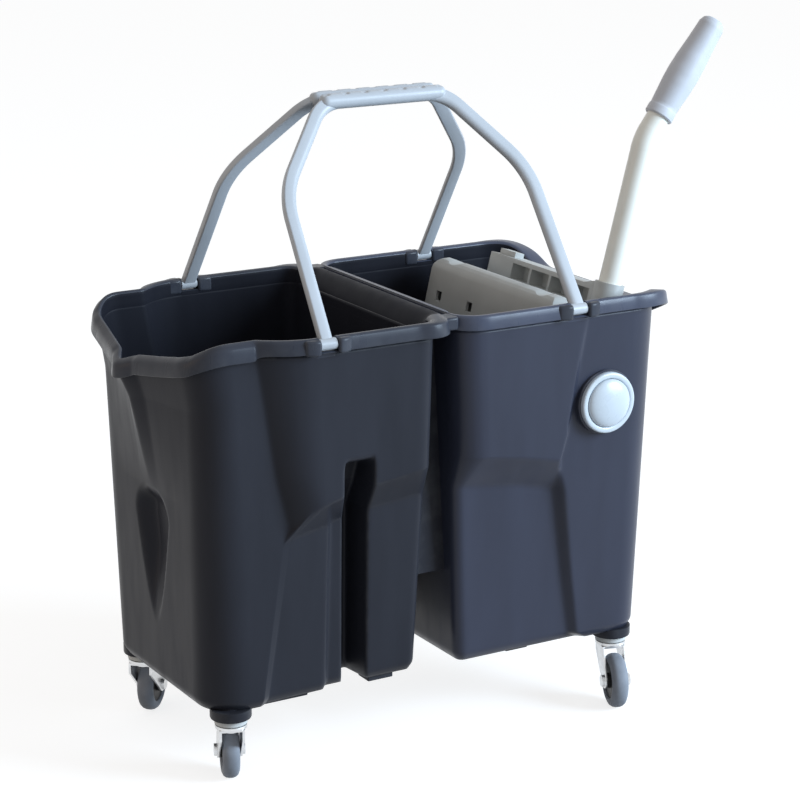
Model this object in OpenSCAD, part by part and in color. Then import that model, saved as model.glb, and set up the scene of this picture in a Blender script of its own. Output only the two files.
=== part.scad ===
// Double mop bucket trolley with lever press, two carrying bails and four swivel castors.
// Millimetres, +Z up. X runs along the length, the press is at +X, the pouring lip at -X.

/* [Bucket body] */
// Height of the rim top above the floor
rim_z = 474; // [450:1:500]
// Height of the panel bottoms above the floor
base_z = 86; // [80:1:100]
// Wall thickness
wall = 4; // [3:0.5:6]
// Floor thickness of each bucket
floor_t = 4; // [3:0.5:8]
// Half width of the front and back wall below the rim
half_w_top = 155; // [140:1:170]
// Half width of the corner posts at the bottom
half_w_base = 125; // [110:1:140]
// Distance of the left wall from the middle below the rim
left_top = 278; // [260:1:290]
// Distance of the left wall from the middle at the bottom
left_base = 265; // [250:1:275]
// Distance of the right wall from the middle below the rim
right_top = 266; // [255:1:285]
// Distance of the right wall from the middle at the bottom
right_base = 263; // [250:1:275]
// Radius of the upright outer corners below the rim
corner_r = 55; // [30:1:60]
// Radius of the upright outer corners at the bottom
corner_base_r = 32; // [24:1:50]
// Radius of the corners at the press end below the rim
end_corner_r = 42; // [30:1:60]
// Radius of the corners at the press end at the bottom
end_corner_base_r = 32; // [24:1:50]
// Rounding height at the bottom edge
base_round = 8; // [4:1:15]
// Inset of the rounding at the bottom edge
base_inset = 5; // [2:0.5:8]

/* [Rim] */
// Height of the rim skirt
skirt_h = 15; // [10:0.5:22]
// Overhang of the skirt on the long sides
skirt_out = 7; // [4:0.5:12]
// Overhang of the rolled lip at the right end
lip_out = 19; // [8:0.5:22]
// Width of the rim top
rim_w = 11; // [9:0.5:16]
// Rounding of the rim edges
rim_soft = 2.5; // [1:0.5:4]
// Drop of the rim along the left end
pour_drop = 36; // [20:1:50]
// Climb of the pouring lip for each millimetre from the middle
lip_climb = 0.17; // [0.1:0.01:0.25]
// Drop of the rim along the right end
end_drop = 24; // [10:1:40]
// Rise of the rim at the left corners
shoulder_rise = 4; // [0:0.5:8]
// Reach of the pouring nose beyond the left rim
nose_out = 27; // [20:1:45]
// Half width of the pouring nose
nose_half = 22; // [14:1:30]

/* [Divider] */
// Left wall of the gap below the rim
gap_left_top = -19; // [-26:1:-12]
// Left wall of the gap at the bottom
gap_left_base = -26; // [-40:1:-14]
// Right wall of the gap below the rim
gap_right_top = 7; // [-4:1:10]
// Right wall of the gap at the bottom
gap_right_base = 28; // [10:1:40]
// Reach of the divider's flange over the gap
divider_out = 22.5; // [15:0.5:23]
// Height of the rounded inner edge of the divider above the wall
divider_roll = 7; // [0:0.5:10]
// Width of the bridge at each end of the divider
bridge_w = 30; // [18:1:50]
// Lower edge of the webs in the gap
web_z = 187; // [150:1:240]
// Distance of each web from the middle
web_y = 100; // [80:1:120]
// Thickness of the webs
web_t = 5; // [3:0.5:8]

/* [Panels] */
// Height of the panel ledge beside the gap
ledge_z = 321; // [300:1:340]
// Height taken by the sloping ledge
ledge_h = 36; // [20:1:50]
// Drop of the ledge per square of distance from the middle
ledge_arch = 0.00097; // [0:0.00001:0.002]
// Set back of the lower panel under the ledge
panel_back = 21; // [8:1:35]
// Depth of the upright groove in the wash bucket
groove_deep = 24; // [10:1:32]
// Height of the groove top
groove_top = 341; // [330:1:365]
// Left edge of the groove above, under and far below the ledge
groove_left = [-127, -114, -96]; // [-132:1:-94]
// Right edge of the groove above, under and far below the ledge
groove_right = [-101, -91, -83]; // [-104:1:-80]
// Width of each flank of the groove
groove_flank = 4; // [3:0.5:6]
// Left edge of the proud band at the rim, above, at and under the ledge
band_edge = [-220, -206, -199, -188]; // [-222:1:-180]
// Step of the narrow strip beside the groove
strip_back = 4; // [2:0.5:6]
// Half width of the wash panels at the bottom
wash_foot = 111; // [105:1:118]
// Half width of the press panels at the bottom
press_foot = 119; // [110:1:124]
// Right edge of the press panel at the rim, above, at and under the ledge
press_edge = [161, 142, 134, 140]; // [120:1:170]
// Right edge of the press panel at the bottom
press_edge_base = 182; // [170:1:190]
// Depth of the hand recess in the left end
recess_deep = 20; // [8:1:28]
// Half width of the hand recess
recess_half = 40; // [30:1:50]

/* [Bails] */
// Distance of each handle foot from the middle along the length
clip_x = 148; // [130:1:160]
// Distance of the bail hinge outside the wall
clip_out = 2; // [0:0.5:4]
// Depth of the bail hinge below the rim top
clip_drop = 7; // [5:0.5:9]
// Distance of each grip from the middle plane when the bails lean together
bail_apart = 10.5; // [9:0.5:30]
// Distance of the grip centre from the hinge
bail_reach = 258; // [230:1:280]
// Width of the bail strip
bail_w = 15; // [12:0.5:20]
// Thickness of the bail strip
bail_t = 8.5; // [7:0.5:11]
// Height of the shoulder bend above the hinge
shoulder_up = 168; // [150:1:180]
// Draw in of each leg at the shoulder bend
shoulder_in = 5.5; // [2:0.5:12]
// Radius of the shoulder bend
shoulder_r = 140; // [80:1:150]
// Radius of the bend beside the grip
grip_bend_r = 45; // [30:1:50]
// Half length of the straight grip
grip_half = 74; // [60:1:90]
// Depth of the channel in the bail strip
channel_deep = 2; // [1:0.5:3]
// Width of the channel in the bail strip
channel_w = 4.5; // [3:0.5:6]
// Edge left beside the channel
channel_edge = 2.5; // [1.5:0.5:4]
// Start of the channel above the hinge
channel_up = 14; // [10:1:20]
// Thickness of the grip
grip_d = 16; // [14:0.5:17]
// Spacing of the grip notches
notch_step = 22.5; // [16:0.5:24]
// Diameter of the foot barrel
foot_d = 12; // [10:0.5:13]
// Length of the foot barrel
foot_len = 18.6; // [15:0.1:22]
// Diameter of the foot trunnions
trunnion_d = 6; // [4:0.1:8]
// Length of each foot trunnion
trunnion_len = 6; // [4:0.5:8]
// Length of each rim block beside a foot
block_len = 16; // [12:0.5:20]
// Length of the sloping side of each rim block
block_ramp = 9; // [4:0.5:11]
// Reach of the rim blocks beyond the skirt
block_out = 3.5; // [1:0.5:5]

/* [Press] */
// Pivot position along the length
pivot_x = 190; // [180:1:200]
// Pivot height
pivot_z = 360; // [345:1:375]
// Lean of the lever at rest
lever_lean = 15; // [12:0.5:18]
// Closing swing of the press jaw
press_swing = 16; // [8:0.5:16]
// Half length of the swing jaw panel
jaw_half = 101; // [92:1:104]
// Height of the swing jaw above the pivot
jaw_h = 115; // [95:1:118]
// Distance of the pressing face from the pivot line
jaw_face = 14; // [10:0.5:16]
// Distance of the jaw back from the pivot line
jaw_back = 16; // [12:0.5:18]
// Depth of the rib pockets
pocket_deep = 18; // [8:0.5:22]
// Number of rib pockets
pocket_n = 4; // [3:1:6]
// Height of the rib pockets
pocket_h = 17; // [12:1:22]
// Closed cheek of the jaw at the back end
cheek_w = 43; // [30:1:60]
// Thickness of the jaw's top flange
flange_t = 5; // [3:0.5:7]
// Thickness of the ribs between the pockets
rib_t = 4; // [3:0.5:6]
// Half length of the jaw's hub
hub_half = 124; // [118:1:126]
// Gap between the hub and each boss
hub_gap = 3; // [1:0.5:5]
// Wall of the pivot bush
bush_wall = 3; // [2:0.5:5]
// Wall of the boss around the bush
boss_wall = 9; // [5:0.5:12]
// Diameter of the pivot pin
pin_d = 20; // [14:0.5:24]
// Outer diameter of the pivot ring
ring_d = 66; // [60:1:70]
// Diameter of the domed pin head
dome_d = 52; // [44:0.5:56]
// Height of the dome
dome_h = 9; // [5:0.5:14]
// Thickness of the pivot ring
ring_t = 5; // [3:0.5:8]
// Top of the fixed jaw
fixed_z = 471; // [455:1:480]
// Bottom of the fixed jaw
fixed_base_z = 330; // [310:1:345]
// Thickness of the fixed jaw at its rounded top
fixed_top_w = 29; // [22:1:34]
// Rounding of the fixed jaw's top at its ends
fixed_end_r = 12; // [6:1:16]
// Distance of each saddle in the top from the end
saddle_in = 33; // [26:1:50]
// Depth of each saddle in the top
saddle_deep = 3; // [1:0.5:5]
// Radius of each saddle
saddle_r = 30; // [15:1:60]
// Gap between the jaws at the pivot line
jaw_gap = 8; // [5:0.5:12]
// Height of the brackets under the fixed jaw
bracket_h = 14; // [8:1:20]
// Length of the brackets under the fixed jaw
bracket_len = 34; // [24:1:40]
// Bearing of the fixed jaw on each bracket
bracket_lap = 12; // [8:1:18]
// Half length of the fixed jaw
fixed_half = 121; // [110:1:126]
// Wall of the fixed jaw casing
fixed_wall = 3.5; // [2.5:0.5:5]
// Lean of the fixed jaw back face
fixed_lean = 13; // [6:1:18]
// Spacing of the drain holes
drain_step = 64; // [50:1:72]
// Side of the square drain holes
drain_side = 11; // [8:0.5:14]

/* [Lever] */
// Diameter of the lever tube
tube_d = 25; // [20:0.5:28]
// Wall of the lever tube
tube_wall = 2; // [1:0.25:3]
// Distance of the lever from the middle plane
lever_y = 110; // [104:1:112]
// Distance of the lever bend from the pivot
bend_at = 277; // [250:1:300]
// Angle of the lever bend
bend_angle = 21; // [10:1:30]
// Radius of the lever bend
bend_r = 60; // [45:1:90]
// Length of the grip
handle_len = 120; // [100:1:140]
// Largest diameter of the grip
handle_d = 35; // [30:0.5:40]
// Wall of the lever socket
socket_wall = 3.5; // [2.5:0.5:5]
// Height of the lever's foot above the pivot
socket_up = 60; // [50:1:70]
// Start of the grip beyond the bend
grip_from = 28; // [24:1:36]
// Solid end of the grip
grip_cap = 12; // [8:1:16]

/* [Castors] */
// Castor position along the length
castor_x = 235.5; // [230:0.5:240]
// Castor position across the width
castor_y = 106; // [100:0.5:112]
// Wheel diameter
wheel_d = 60; // [50:1:60]
// Tyre width
tyre_w = 18; // [14:0.5:20]
// Wheel centre diameter
hub_d = 40; // [32:0.5:44]
// Trail of the wheel behind the stem
trail = 25; // [18:0.5:28]
// Stem diameter
stem_d = 11; // [8:0.5:14]
// Axle diameter
axle_d = 8; // [6:0.5:10]
// Thickness of the fork sheet
fork_t = 2.5; // [2:0.25:4]
// Inner width of the fork
fork_gap = 21; // [20.5:0.25:24]
// Diameter of the bearing race
race_d = 34; // [28:0.5:38]
// Diameter of the castor housing
cup_d = 43; // [40:0.5:50]
// Lower edge of the castor housing
cup_z = 76; // [75:0.5:80]
// Height of the castor housing
cup_h = 34; // [32:1:44]
// Reach of the fork crown behind the stem
crown_back = 13; // [11:0.5:18]
// Reach of the fork crown ahead of the stem
crown_front = 15; // [12:0.5:18]
// Depth of the fork's rear edge
crown_skirt = 12; // [8:0.5:18]
// Radius of the fork eyes around the axle
eye_r = 8.5; // [7:0.5:11]
// Heading of the front left castor
head_fl = 68.6; // [0:0.1:360]
// Heading of the front right castor
head_fr = 249.7; // [0:0.1:360]
// Heading of the back left castor
head_bl = 46.7; // [0:0.1:360]
// Heading of the back right castor
head_br = 60; // [0:0.1:360]

/* [Feet and stops] */
// Height of the pads under the floor
pad_h = 7; // [4:0.5:8]
// Width of the pads
pad_w = 22; // [16:1:26]
// Length of the pads
pad_len = 28; // [20:1:40]
// Distance of the pads from the middle plane
pad_y = 91; // [80:1:95]
// Places of the pads along the length
pad_places = [-158, -66, 114]; // [-180:1:180]
// Height of the jaw stops above the pivot
stop_up = 66; // [50:1:72]
// Height of each jaw stop
stop_h = 14; // [8:1:18]
// Width of each jaw stop
stop_w = 10; // [6:1:14]
// Distance of the jaw stops from the middle plane
stop_y = 55; // [40:1:70]

/* [Fits] */
// Radial running clearance of pins in their bores
run_c = 0.05; // [0.02:0.01:0.1]
// Side clearance between parts that turn past each other
side_c = 0.5; // [0.3:0.1:1]
// Gap left at a stop
stop_c = 0.4; // [0.2:0.1:1]

/* [Hidden] */
$fn = 64;
skirt_z = rim_z - skirt_h;
wall_top = skirt_z - 2;
axle_z = wheel_d / 2;
crown_z = wheel_d + 3.5;
crown_top = crown_z + fork_t;
race_z = crown_top + 3;
race_top = cup_z;
clip_y = half_w_top + clip_out;
clip_z = rim_z - clip_drop;
bail_lean = asin((clip_y - bail_apart) / bail_reach);
boss_face = half_w_top - 2;
boss_in = hub_half + hub_gap;
bush_d = pin_d + 2 * bush_wall;
panel_lev = 3;
charcoal = [0.16, 0.16, 0.18];
light_grey = [0.78, 0.80, 0.83];
mid_grey = [0.62, 0.62, 0.60];
cream = [0.90, 0.89, 0.84];
steel = [0.75, 0.76, 0.78];
tyre_grey = [0.55, 0.56, 0.58];

function mix(a, b, t) = a + (b - a) * t;
function clamp(v, lo, hi) = min(max(v, lo), hi);

// Height share between the bottom and the rim
function share(z) = clamp((z - base_z) / (wall_top - base_z), 0, 1);
function arch(x) = ledge_arch * pow(clamp(abs(x), 0, 190), 2);
function ledge_hi(x) = ledge_z - arch(x);
function ledge_lo(x) = ledge_hi(x) - ledge_h;

// Heights of the wall levels at distance x from the middle
function lev_z(k, x) = k == 0 ? base_z
    : k == 1 ? base_z + base_round
    : k == 2 ? mix(base_z, ledge_lo(x), 0.5)
    : k == 3 ? ledge_lo(x)
    : k == 4 ? ledge_hi(x)
    : k == 5 ? groove_top - 10
    : k == 6 ? groove_top
    : k == 7 ? mix(groove_top, wall_top, 0.55)
    : wall_top;
lev_top = 8;
function upper(k) = k >= 4;
function inset(k) = k == 0 ? base_inset : 0;

// Plane of the corner posts and of the panels
function post_y(z) = mix(half_w_base, half_w_top - 5, share(z));
function proud_y(z) = mix(half_w_base + 22, half_w_top, share(z));
function low_share(z) = clamp((z - base_z) / (ledge_z - ledge_h - base_z), 0, 1);
function low_y(z, foot) = mix(foot, half_w_top - 5 - panel_back, low_share(z));
function panel_y(k, z, foot) = upper(k) ? proud_y(z) : low_y(z, foot);

// Walls on both sides of the gap
function gap_left(z) = mix(gap_left_base, gap_left_top, share(z));
function gap_right(z) = mix(gap_right_base, gap_right_top, share(z));

// A column point: x, y, z and the inward direction in plan
function col(x, y, z, ix, iy) = [x, y, z, ix, iy];
function pull(p, d) = [p[0] + p[3] * d, p[1] + p[4] * d, p[2]];

// Wash bucket, front half from the nose to the divider
function nose_share(k) = k == 8 ? 0.55 : k == 7 ? 0.12 : 0;
function recess_share(k) = k == 3 ? 1 : k == 2 ? 0.2 : 0;
function recess_form(y) = y < recess_half * 0.6 ? 1 : y < recess_half * 0.9 ? 0.6 : 0;
function wash_end(k, y) = let (z = lev_z(k, 190), f = share(z),
        bulge = nose_out * nose_share(k) * (y < 1 ? 1 : y < nose_half * 0.6 ? 0.62 : 0),
        scoop = recess_deep * recess_share(k) * recess_form(y))
    col(-mix(left_base, left_top, f) - bulge + scoop + inset(k), -y, z, 1, 0);
function wash_corner(k, a) = let (z = lev_z(k, 190), f = share(z), r = mix(corner_base_r, corner_r, f),
        cx = -mix(left_base, left_top, f) + r, cy = -post_y(z) + r, s = r - inset(k))
    col(cx + s * cos(a), cy + s * sin(a), z, -cos(a), -sin(a));
function at_ledge(k, e) = k == 8 ? e[0] : k == 7 ? mix(e[0], e[1], 0.5) : k >= 5 ? e[1] : e[2];
function band_x(k) = upper(k) ? at_ledge(k, band_edge) : band_edge[3] - 3 * (panel_lev - k);
function strip_x(k) = slot_x(k, groove_left) - (upper(k) ? 19 : mix(29, 21, k / panel_lev));
function slot_x(k, e) = upper(k) ? e[0] : mix(e[2], e[1], k / panel_lev);
function slot_on(k) = k <= 4 ? 1 : k == 5 ? 0.8 : 0;
function wash_front(k) = let (
        xa = band_x(k), xb = xa + (upper(k) ? 22 : 7), xc = strip_x(k), xd = xc + (upper(k) ? 4 : 6),
        g0 = slot_x(k, groove_left), g1 = g0 + groove_flank,
        g3 = slot_x(k, groove_right), g2 = g3 - groove_flank,
        za = lev_z(k, xa), zb = lev_z(k, xb), zc = lev_z(k, xc), zd = lev_z(k, xd),
        zg = lev_z(k, g0), zh = lev_z(k, g3),
        s = upper(k) ? 0 : strip_back, deep = groove_deep * slot_on(k), n = inset(k))
    [col(xa, -post_y(za) + n, za, 0, 1),
     col(xb, -panel_y(k, zb, wash_foot + 8) + n, zb, 0, 1),
     col(xc, -panel_y(k, zc, wash_foot + 5) + n, zc, 0, 1),
     col(xd, -panel_y(k, zd, wash_foot) + s + n, zd, 0, 1),
     col(g0, -panel_y(k, zg, wash_foot) + s + n, zg, -0.7, 0.9),
     col(g1, -panel_y(k, zg, wash_foot) + deep + n, zg, -0.7, 0.9),
     col(g2, -panel_y(k, zh, wash_foot) + deep + n, zh, 0.7, 0.9),
     col(g3, -panel_y(k, zh, wash_foot) + n, zh, 0.7, 0.9)];
function wash_in_r(k) = upper(k) ? 16 : 12;
function wash_in(k, a) = let (x = -30, z = lev_z(k, x), r = wash_in_r(k),
        ex = gap_left(z), ey = panel_y(k, z, wash_foot))
    col(ex - r + (r - inset(k)) * cos(a), -ey + r + (r - inset(k)) * sin(a), z, -cos(a), -sin(a));
function wash_gap(k, y) = let (z = lev_z(k, 30))
    col(gap_left(z) - inset(k), -y, z, -1, 0);
function wash_half(k) = concat(
    [for (y = [nose_half * 0.5, nose_half, recess_half * 0.8, recess_half + 4, 66]) wash_end(k, y)],
    [for (a = [180 : 18 : 270]) wash_corner(k, a)],
    wash_front(k),
    [for (a = [270 : 30 : 360]) wash_in(k, a)],
    [wash_gap(k, 55)]);

// Press bucket, front half from the divider to the right end
function press_gap(k, y) = let (z = lev_z(k, 20))
    col(gap_right(z) + inset(k), -y, z, 1, 0);
function press_in_r(k) = upper(k) ? 30 : 12;
function press_in(k, a) = let (z = lev_z(k, 20), r = press_in_r(k),
        ex = gap_right(z), ey = panel_y(k, z, press_foot))
    col(ex + r + (r - inset(k)) * cos(a), -ey + r + (r - inset(k)) * sin(a), z, -cos(a), -sin(a));
function edge_x(k) = upper(k) ? at_ledge(k, press_edge)
    : mix(press_edge_base, press_edge[3], k / panel_lev);
function end_y(z) = mix(half_w_base + 2, half_w_top - 1, share(z));
function press_front(k) = let (xa = edge_x(k), xb = xa + (upper(k) ? 5 : 8),
        xm = mix(40, xa, 0.5), zm = lev_z(k, xm), za = lev_z(k, xa), zb = lev_z(k, xb), n = inset(k))
    [col(xm, -panel_y(k, zm, press_foot) + n, zm, 0, 1),
     col(xa, -panel_y(k, za, press_foot) + n, za, 0, 1),
     col(xb, -end_y(zb) + n, zb, 0, 1)];
function press_corner(k, a) = let (z = lev_z(k, 190), f = share(z),
        r = mix(end_corner_base_r, end_corner_r, f), cx = mix(right_base, right_top, f) - r, cy = -end_y(z) + r, s = r - inset(k))
    col(cx + s * cos(a), cy + s * sin(a), z, -cos(a), -sin(a));
function press_end(k, y) = let (z = lev_z(k, 190))
    col(mix(right_base, right_top, share(z)) - inset(k), -y, z, -1, 0);
function press_half(k) = concat(
    [press_gap(k, 55)],
    [for (a = [180 : 22.5 : 270]) press_in(k, a)],
    press_front(k),
    [for (a = [270 : 18 : 360]) press_corner(k, a)],
    [press_end(k, 52)]);

// Full rings: the middle points and both halves
function flip(p) = [p[0], -p[1], p[2], p[3], -p[4]];
function back_of(h) = [for (i = [len(h) - 1 : -1 : 0]) flip(h[i])];
function wash_ring(k) = let (h = wash_half(k))
    concat([wash_end(k, 0)], h, [wash_gap(k, 0)], back_of(h));
function press_ring(k) = let (h = press_half(k))
    concat([press_gap(k, 0)], h, [press_end(k, 0)], back_of(h));

// Rim height and overhang along the outline
rim_turn = half_w_top - 5;
lip_flat = rim_turn - 26;
droop_flat = rim_turn - 58;
function droop(y) = -end_drop * pow(sin(90 * clamp((rim_turn - y) / (rim_turn - droop_flat), 0, 1)), 2);
function ease(t) = t * t * (3 - 2 * t);
function lip_dip(y) = mix(-pour_drop + lip_climb * min(y, lip_flat), shoulder_rise,
    ease(clamp((y - lip_flat) / (rim_turn - lip_flat), 0, 1)));
function pour(p) = let (y = abs(p[1])) p[0] > pivot_x ? droop(y)
    : p[0] > corner_r + 1 - left_top ? shoulder_rise * clamp((-175 - p[0]) / 40, 0, 1)
    : lip_dip(y);
function nose_at(p) = let (y = abs(p[1])) p[0] > -200 ? 0 : y < 1 ? 1 : y < nose_half * 0.6 ? 0.62 : 0;
function end_share(x) = clamp((x - right_base + end_corner_r) / end_corner_r, 0, 1);
function over(p) = mix(skirt_out, lip_out, end_share(p[0]));
function beside_gap(p) = abs(p[3]) > 0.9 && abs(p[0]) < 40;
function rim_out(p) = !beside_gap(p) ? over(p) : p[0] < 0 ? divider_out : 0.5;
function rim_in(p) = max(rim_out(p) - rim_w, -wall);
function roll(p) = beside_gap(p) && p[0] < 0 ? divider_roll : 0;
function rim_pt(p, out, z) = let (q = pull(p, -out))
    [q[0] - nose_at(p) * nose_out * 0.45, q[1], z + pour(p)];

function shell_points(rings, turn_a, turn_b) = let (t = rings[lev_top]) concat(
    [for (k = [0 : lev_top - 1]) for (p = rings[k]) pull(p, 0)],
    [for (p = t) let (q = pull(p, 0)) [q[0], q[1], q[2] + pour(p)]],
    [for (p = t) rim_pt(p, rim_out(p), skirt_z)],
    [for (p = t) rim_pt(p, rim_out(p), rim_z - rim_soft)],
    [for (p = t) rim_pt(p, rim_out(p) - rim_soft, rim_z)],
    [for (p = t) rim_pt(p, rim_in(p) + rim_soft, rim_z)],
    [for (p = t) rim_pt(p, rim_in(p), rim_z - rim_soft)],
    [for (p = t) let (q = pull(p, wall)) [q[0] - nose_at(p) * 4, q[1], q[2] + pour(p) + roll(p)]],
    [for (k = [lev_top - 1 : -1 : 2]) for (p = rings[k]) pull(p, wall)],
    [for (p = rings[1]) let (q = pull(p, wall)) [q[0], q[1], base_z + floor_t + base_round]],
    [for (p = rings[0]) let (q = pull(p, wall)) [q[0], q[1], base_z + floor_t]],
    [for (z = [base_z, base_z + floor_t]) for (i = [turn_a, turn_b])
        [mix(rings[0][i][0], rings[0][i == turn_a ? 0 : len(t) / 2][0], 0.5), 0, z]]);
function shell_faces(n, rows, ta, tb) = concat(
    cap(0, n, false, rows * n, ta, tb),
    [for (r = [0 : rows - 2]) for (i = [0 : n - 1]) let (j = (i + 1) % n) each
        [[r * n + i, (r + 1) * n + i, (r + 1) * n + j], [r * n + i, (r + 1) * n + j, r * n + j]]],
    cap((rows - 1) * n, n, true, rows * n + 2, ta, tb));
function turn(f, back) = back ? [f[2], f[1], f[0]] : f;
// Flat end of a shell: a fan at each rounded end and strips between them
function cap(o, n, back, c, ta, tb) = concat(
    [for (i = [-ta : ta - 1]) turn([c, o + (i + n) % n, o + (i + 1 + n) % n], back)],
    [turn([c, o + ta, o + n - ta], back)],
    [for (i = [ta : tb - 1]) each [
        turn([o + i, o + i + 1, o + n - i - 1], back),
        turn([o + i, o + n - i - 1, o + n - i], back)]],
    [for (i = [tb : n - tb - 1]) turn([c + 1, o + i, o + i + 1], back)],
    [turn([c + 1, o + n - tb, o + tb], back)]);

module shell(rings, ta, tb) {
    n = len(rings[0]);
    pts = shell_points(rings, ta, tb);
    polyhedron(points = pts, faces = shell_faces(n, floor(len(pts) / n), ta, tb), convexity = 8);
}

// Four copies mirrored about both middle planes, then front and back
module both_sides() {
    children();
    mirror([0, 1, 0]) children();
}

// Rim block beside a bail foot, sloping away from it
module rim_block(side) {
    face = -half_w_top - skirt_out;
    translate([0, 0, skirt_z - 1.5])
        linear_extrude(height = rim_z - skirt_z + 2.5)
            polygon([[0, -half_w_top + wall + 1.5], [0, face - block_out],
                [side * (block_len - block_ramp), face - block_out], [side * block_len, face + 0.5],
                [side * block_len, -half_w_top + wall + 1.5]]);
}

module body_extras() {
    for (sx = [-1, 1])
        for (side = [-1, 1])
            translate([sx * clip_x + side * (foot_len / 2 + side_c), 0, 0])
                rim_block(side);
    translate([gap_left_top - 4, -half_w_top - 3, skirt_z])
        cube([gap_right_top - gap_left_top + 8, bridge_w, skirt_h - 1.5]);
    translate([0, -web_y + web_t, 0])
        rotate([90, 0, 0])
            linear_extrude(height = web_t)
                polygon([
                    [gap_left(web_z) - wall / 2, web_z],
                    [gap_right(web_z) + wall / 2, web_z],
                    [gap_right(wall_top) + wall / 2, rim_z - 8],
                    [gap_left(wall_top) - wall / 2, rim_z - 8]
                ]);
    for (sx = [-1, 1])
        translate([sx * castor_x, -castor_y, cup_z])
            cylinder(d = cup_d, h = cup_h);
    for (x = pad_places)
        translate([x - pad_len / 2, -pad_y - pad_w / 2, base_z - pad_h])
            cube([pad_len, pad_w, pad_h + 2]);
    translate([pivot_x, -boss_face, pivot_z])
        rotate([-90, 0, 0])
            cylinder(d = ring_d + 4, h = 9);
    translate([pivot_x, -boss_face, pivot_z])
        rotate([-90, 0, 0])
            cylinder(d = bush_d + 2 * boss_wall, h = boss_face - boss_in);
    translate([fixed_x0() + jaw_gap - bracket_len, -bracket_y(), fixed_base_z - bracket_h])
        cube([bracket_len, bracket_y() - fixed_half + bracket_lap, bracket_h]);
    translate([stop_x(), -stop_y - stop_w / 2, pivot_z + stop_up])
        cube([right_top - stop_x() - 1, stop_w, stop_h]);
}

function fixed_x0() = pivot_x - jaw_face - jaw_gap;
function bracket_y() = end_y(fixed_base_z - bracket_h / 2) - wall / 2;
function stop_x() = pivot_x + (jaw_back + stop_c) / cos(lever_lean) + (stop_up + stop_h) * tan(lever_lean);

module bucket_body() {
    color(charcoal)
        difference() {
            union() {
                shell([for (k = [0 : lev_top]) wash_ring(k)], 11, 20);
                shell([for (k = [0 : lev_top]) press_ring(k)], 6, 10);
                both_sides() body_extras();
            }
            both_sides() body_cuts();
        }
}

module body_cuts() {
    for (sx = [-1, 1]) {
        translate([sx * clip_x - foot_len / 2 - side_c, -clip_y - 20, clip_z - foot_d / 2 - side_c])
            cube([foot_len + 2 * side_c, 36, 40]);
        translate([sx * clip_x - foot_len / 2 - trunnion_len - 1, -clip_y, clip_z])
            rotate([0, 90, 0])
                cylinder(d = trunnion_d + 2 * run_c, h = foot_len + 2 * trunnion_len + 2);
        translate([sx * castor_x, -castor_y, cup_z - 1])
            cylinder(d = stem_d, h = 29);
    }
    translate([pivot_x, -boss_face - 1, pivot_z])
        rotate([-90, 0, 0])
            cylinder(d = bush_d, h = boss_face - boss_in + 2);
}

// Points of the arc that rounds corner b between a and c
function spin(v, a) = [v[0] * cos(a) - v[1] * sin(a), v[0] * sin(a) + v[1] * cos(a)];
function corner_arc(a, b, c, r, n) = let (u = unit(a - b), v = unit(c - b), half = acos(u * v) / 2,
        m = b + unit(u + v) * r / sin(half), s = b + u * r / tan(half) - m,
        turn = sign(u[0] * v[1] - u[1] * v[0]) * (180 - 2 * half))
    [for (i = [0 : n]) m + spin(s, -turn * i / n)];

// Half outline of the bail: leg, shoulder bend and grip bend
function leg_path() = let (foot = [clip_x, 0], shoulder = [clip_x - shoulder_in, shoulder_up],
        grip = [grip_half - 3, bail_reach], middle = [0, bail_reach])
    concat([foot], corner_arc(foot, shoulder, grip, shoulder_r, 8),
        corner_arc(shoulder, grip, middle, grip_bend_r, 5));
function bail_path() = let (h = leg_path())
    concat(h, [for (i = [len(h) - 1 : -1 : 0]) [-h[i][0], h[i][1]]]);
function unit(v) = v / norm(v);
function side_of(p, i, d) = let (a = p[max(i - 1, 0)], b = p[min(i + 1, len(p) - 1)], t = unit(b - a))
    p[i] + d * [-t[1], t[0]];
function strip(p, lo, hi) = concat([for (i = [0 : len(p) - 1]) side_of(p, i, lo)],
    [for (i = [len(p) - 1 : -1 : 0]) side_of(p, i, hi)]);

module bail() {
    path = bail_path();
    difference() {
        union() {
            translate([0, 0, -bail_t / 2])
                linear_extrude(height = bail_t)
                    polygon(strip(path, -bail_w / 2, bail_w / 2));
            translate([-grip_half, bail_reach, 0])
                rotate([0, 90, 0])
                    cylinder(d = grip_d, h = 2 * grip_half);
            for (sx = [-1, 1])
                translate([sx * clip_x - foot_len / 2, 0, 0])
                    rotate([0, 90, 0])
                        cylinder(d = foot_d, h = foot_len);
            for (sx = [-1, 1])
                translate([sx * clip_x - foot_len / 2 - trunnion_len, 0, 0])
                    rotate([0, 90, 0])
                        cylinder(d = trunnion_d, h = foot_len + 2 * trunnion_len);
        }
        translate([0, 0, bail_t / 2 - channel_deep])
            linear_extrude(height = channel_deep + 1)
                intersection() {
                    polygon(strip(path, bail_w / 2 - channel_edge - channel_w, bail_w / 2 - channel_edge));
                    translate([-clip_x - bail_w, channel_up])
                        square([2 * (clip_x + bail_w), bail_reach - grip_d / 2 - 4 - channel_up]);
                }
        for (i = [-3 : 3])
            translate([i * notch_step - 4, bail_reach + grip_d / 2 - 4, grip_d / 2 - 4])
                rotate([45, 0, 0])
                    translate([0, 0, 1.6])
                        cylinder(d1 = 0.8, d2 = 7, h = 4, $fn = 3);
        foot_trim(-1);
        foot_trim(1);
    }
}

module foot_trim(sx) {
    translate([sx * clip_x - foot_len, -foot_len - foot_d / 2, -foot_d])
        cube([2 * foot_len, foot_len, 2 * foot_d]);
}

module front_bail() {
    color(light_grey)
        translate([0, -clip_y, clip_z])
            rotate([90 - bail_lean, 0, 0])
                bail();
}

module rear_bail() {
    color(light_grey)
        rotate([0, 0, 180])
            translate([0, -clip_y, clip_z])
                rotate([90 - bail_lean, 0, 0])
                    bail();
}

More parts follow.
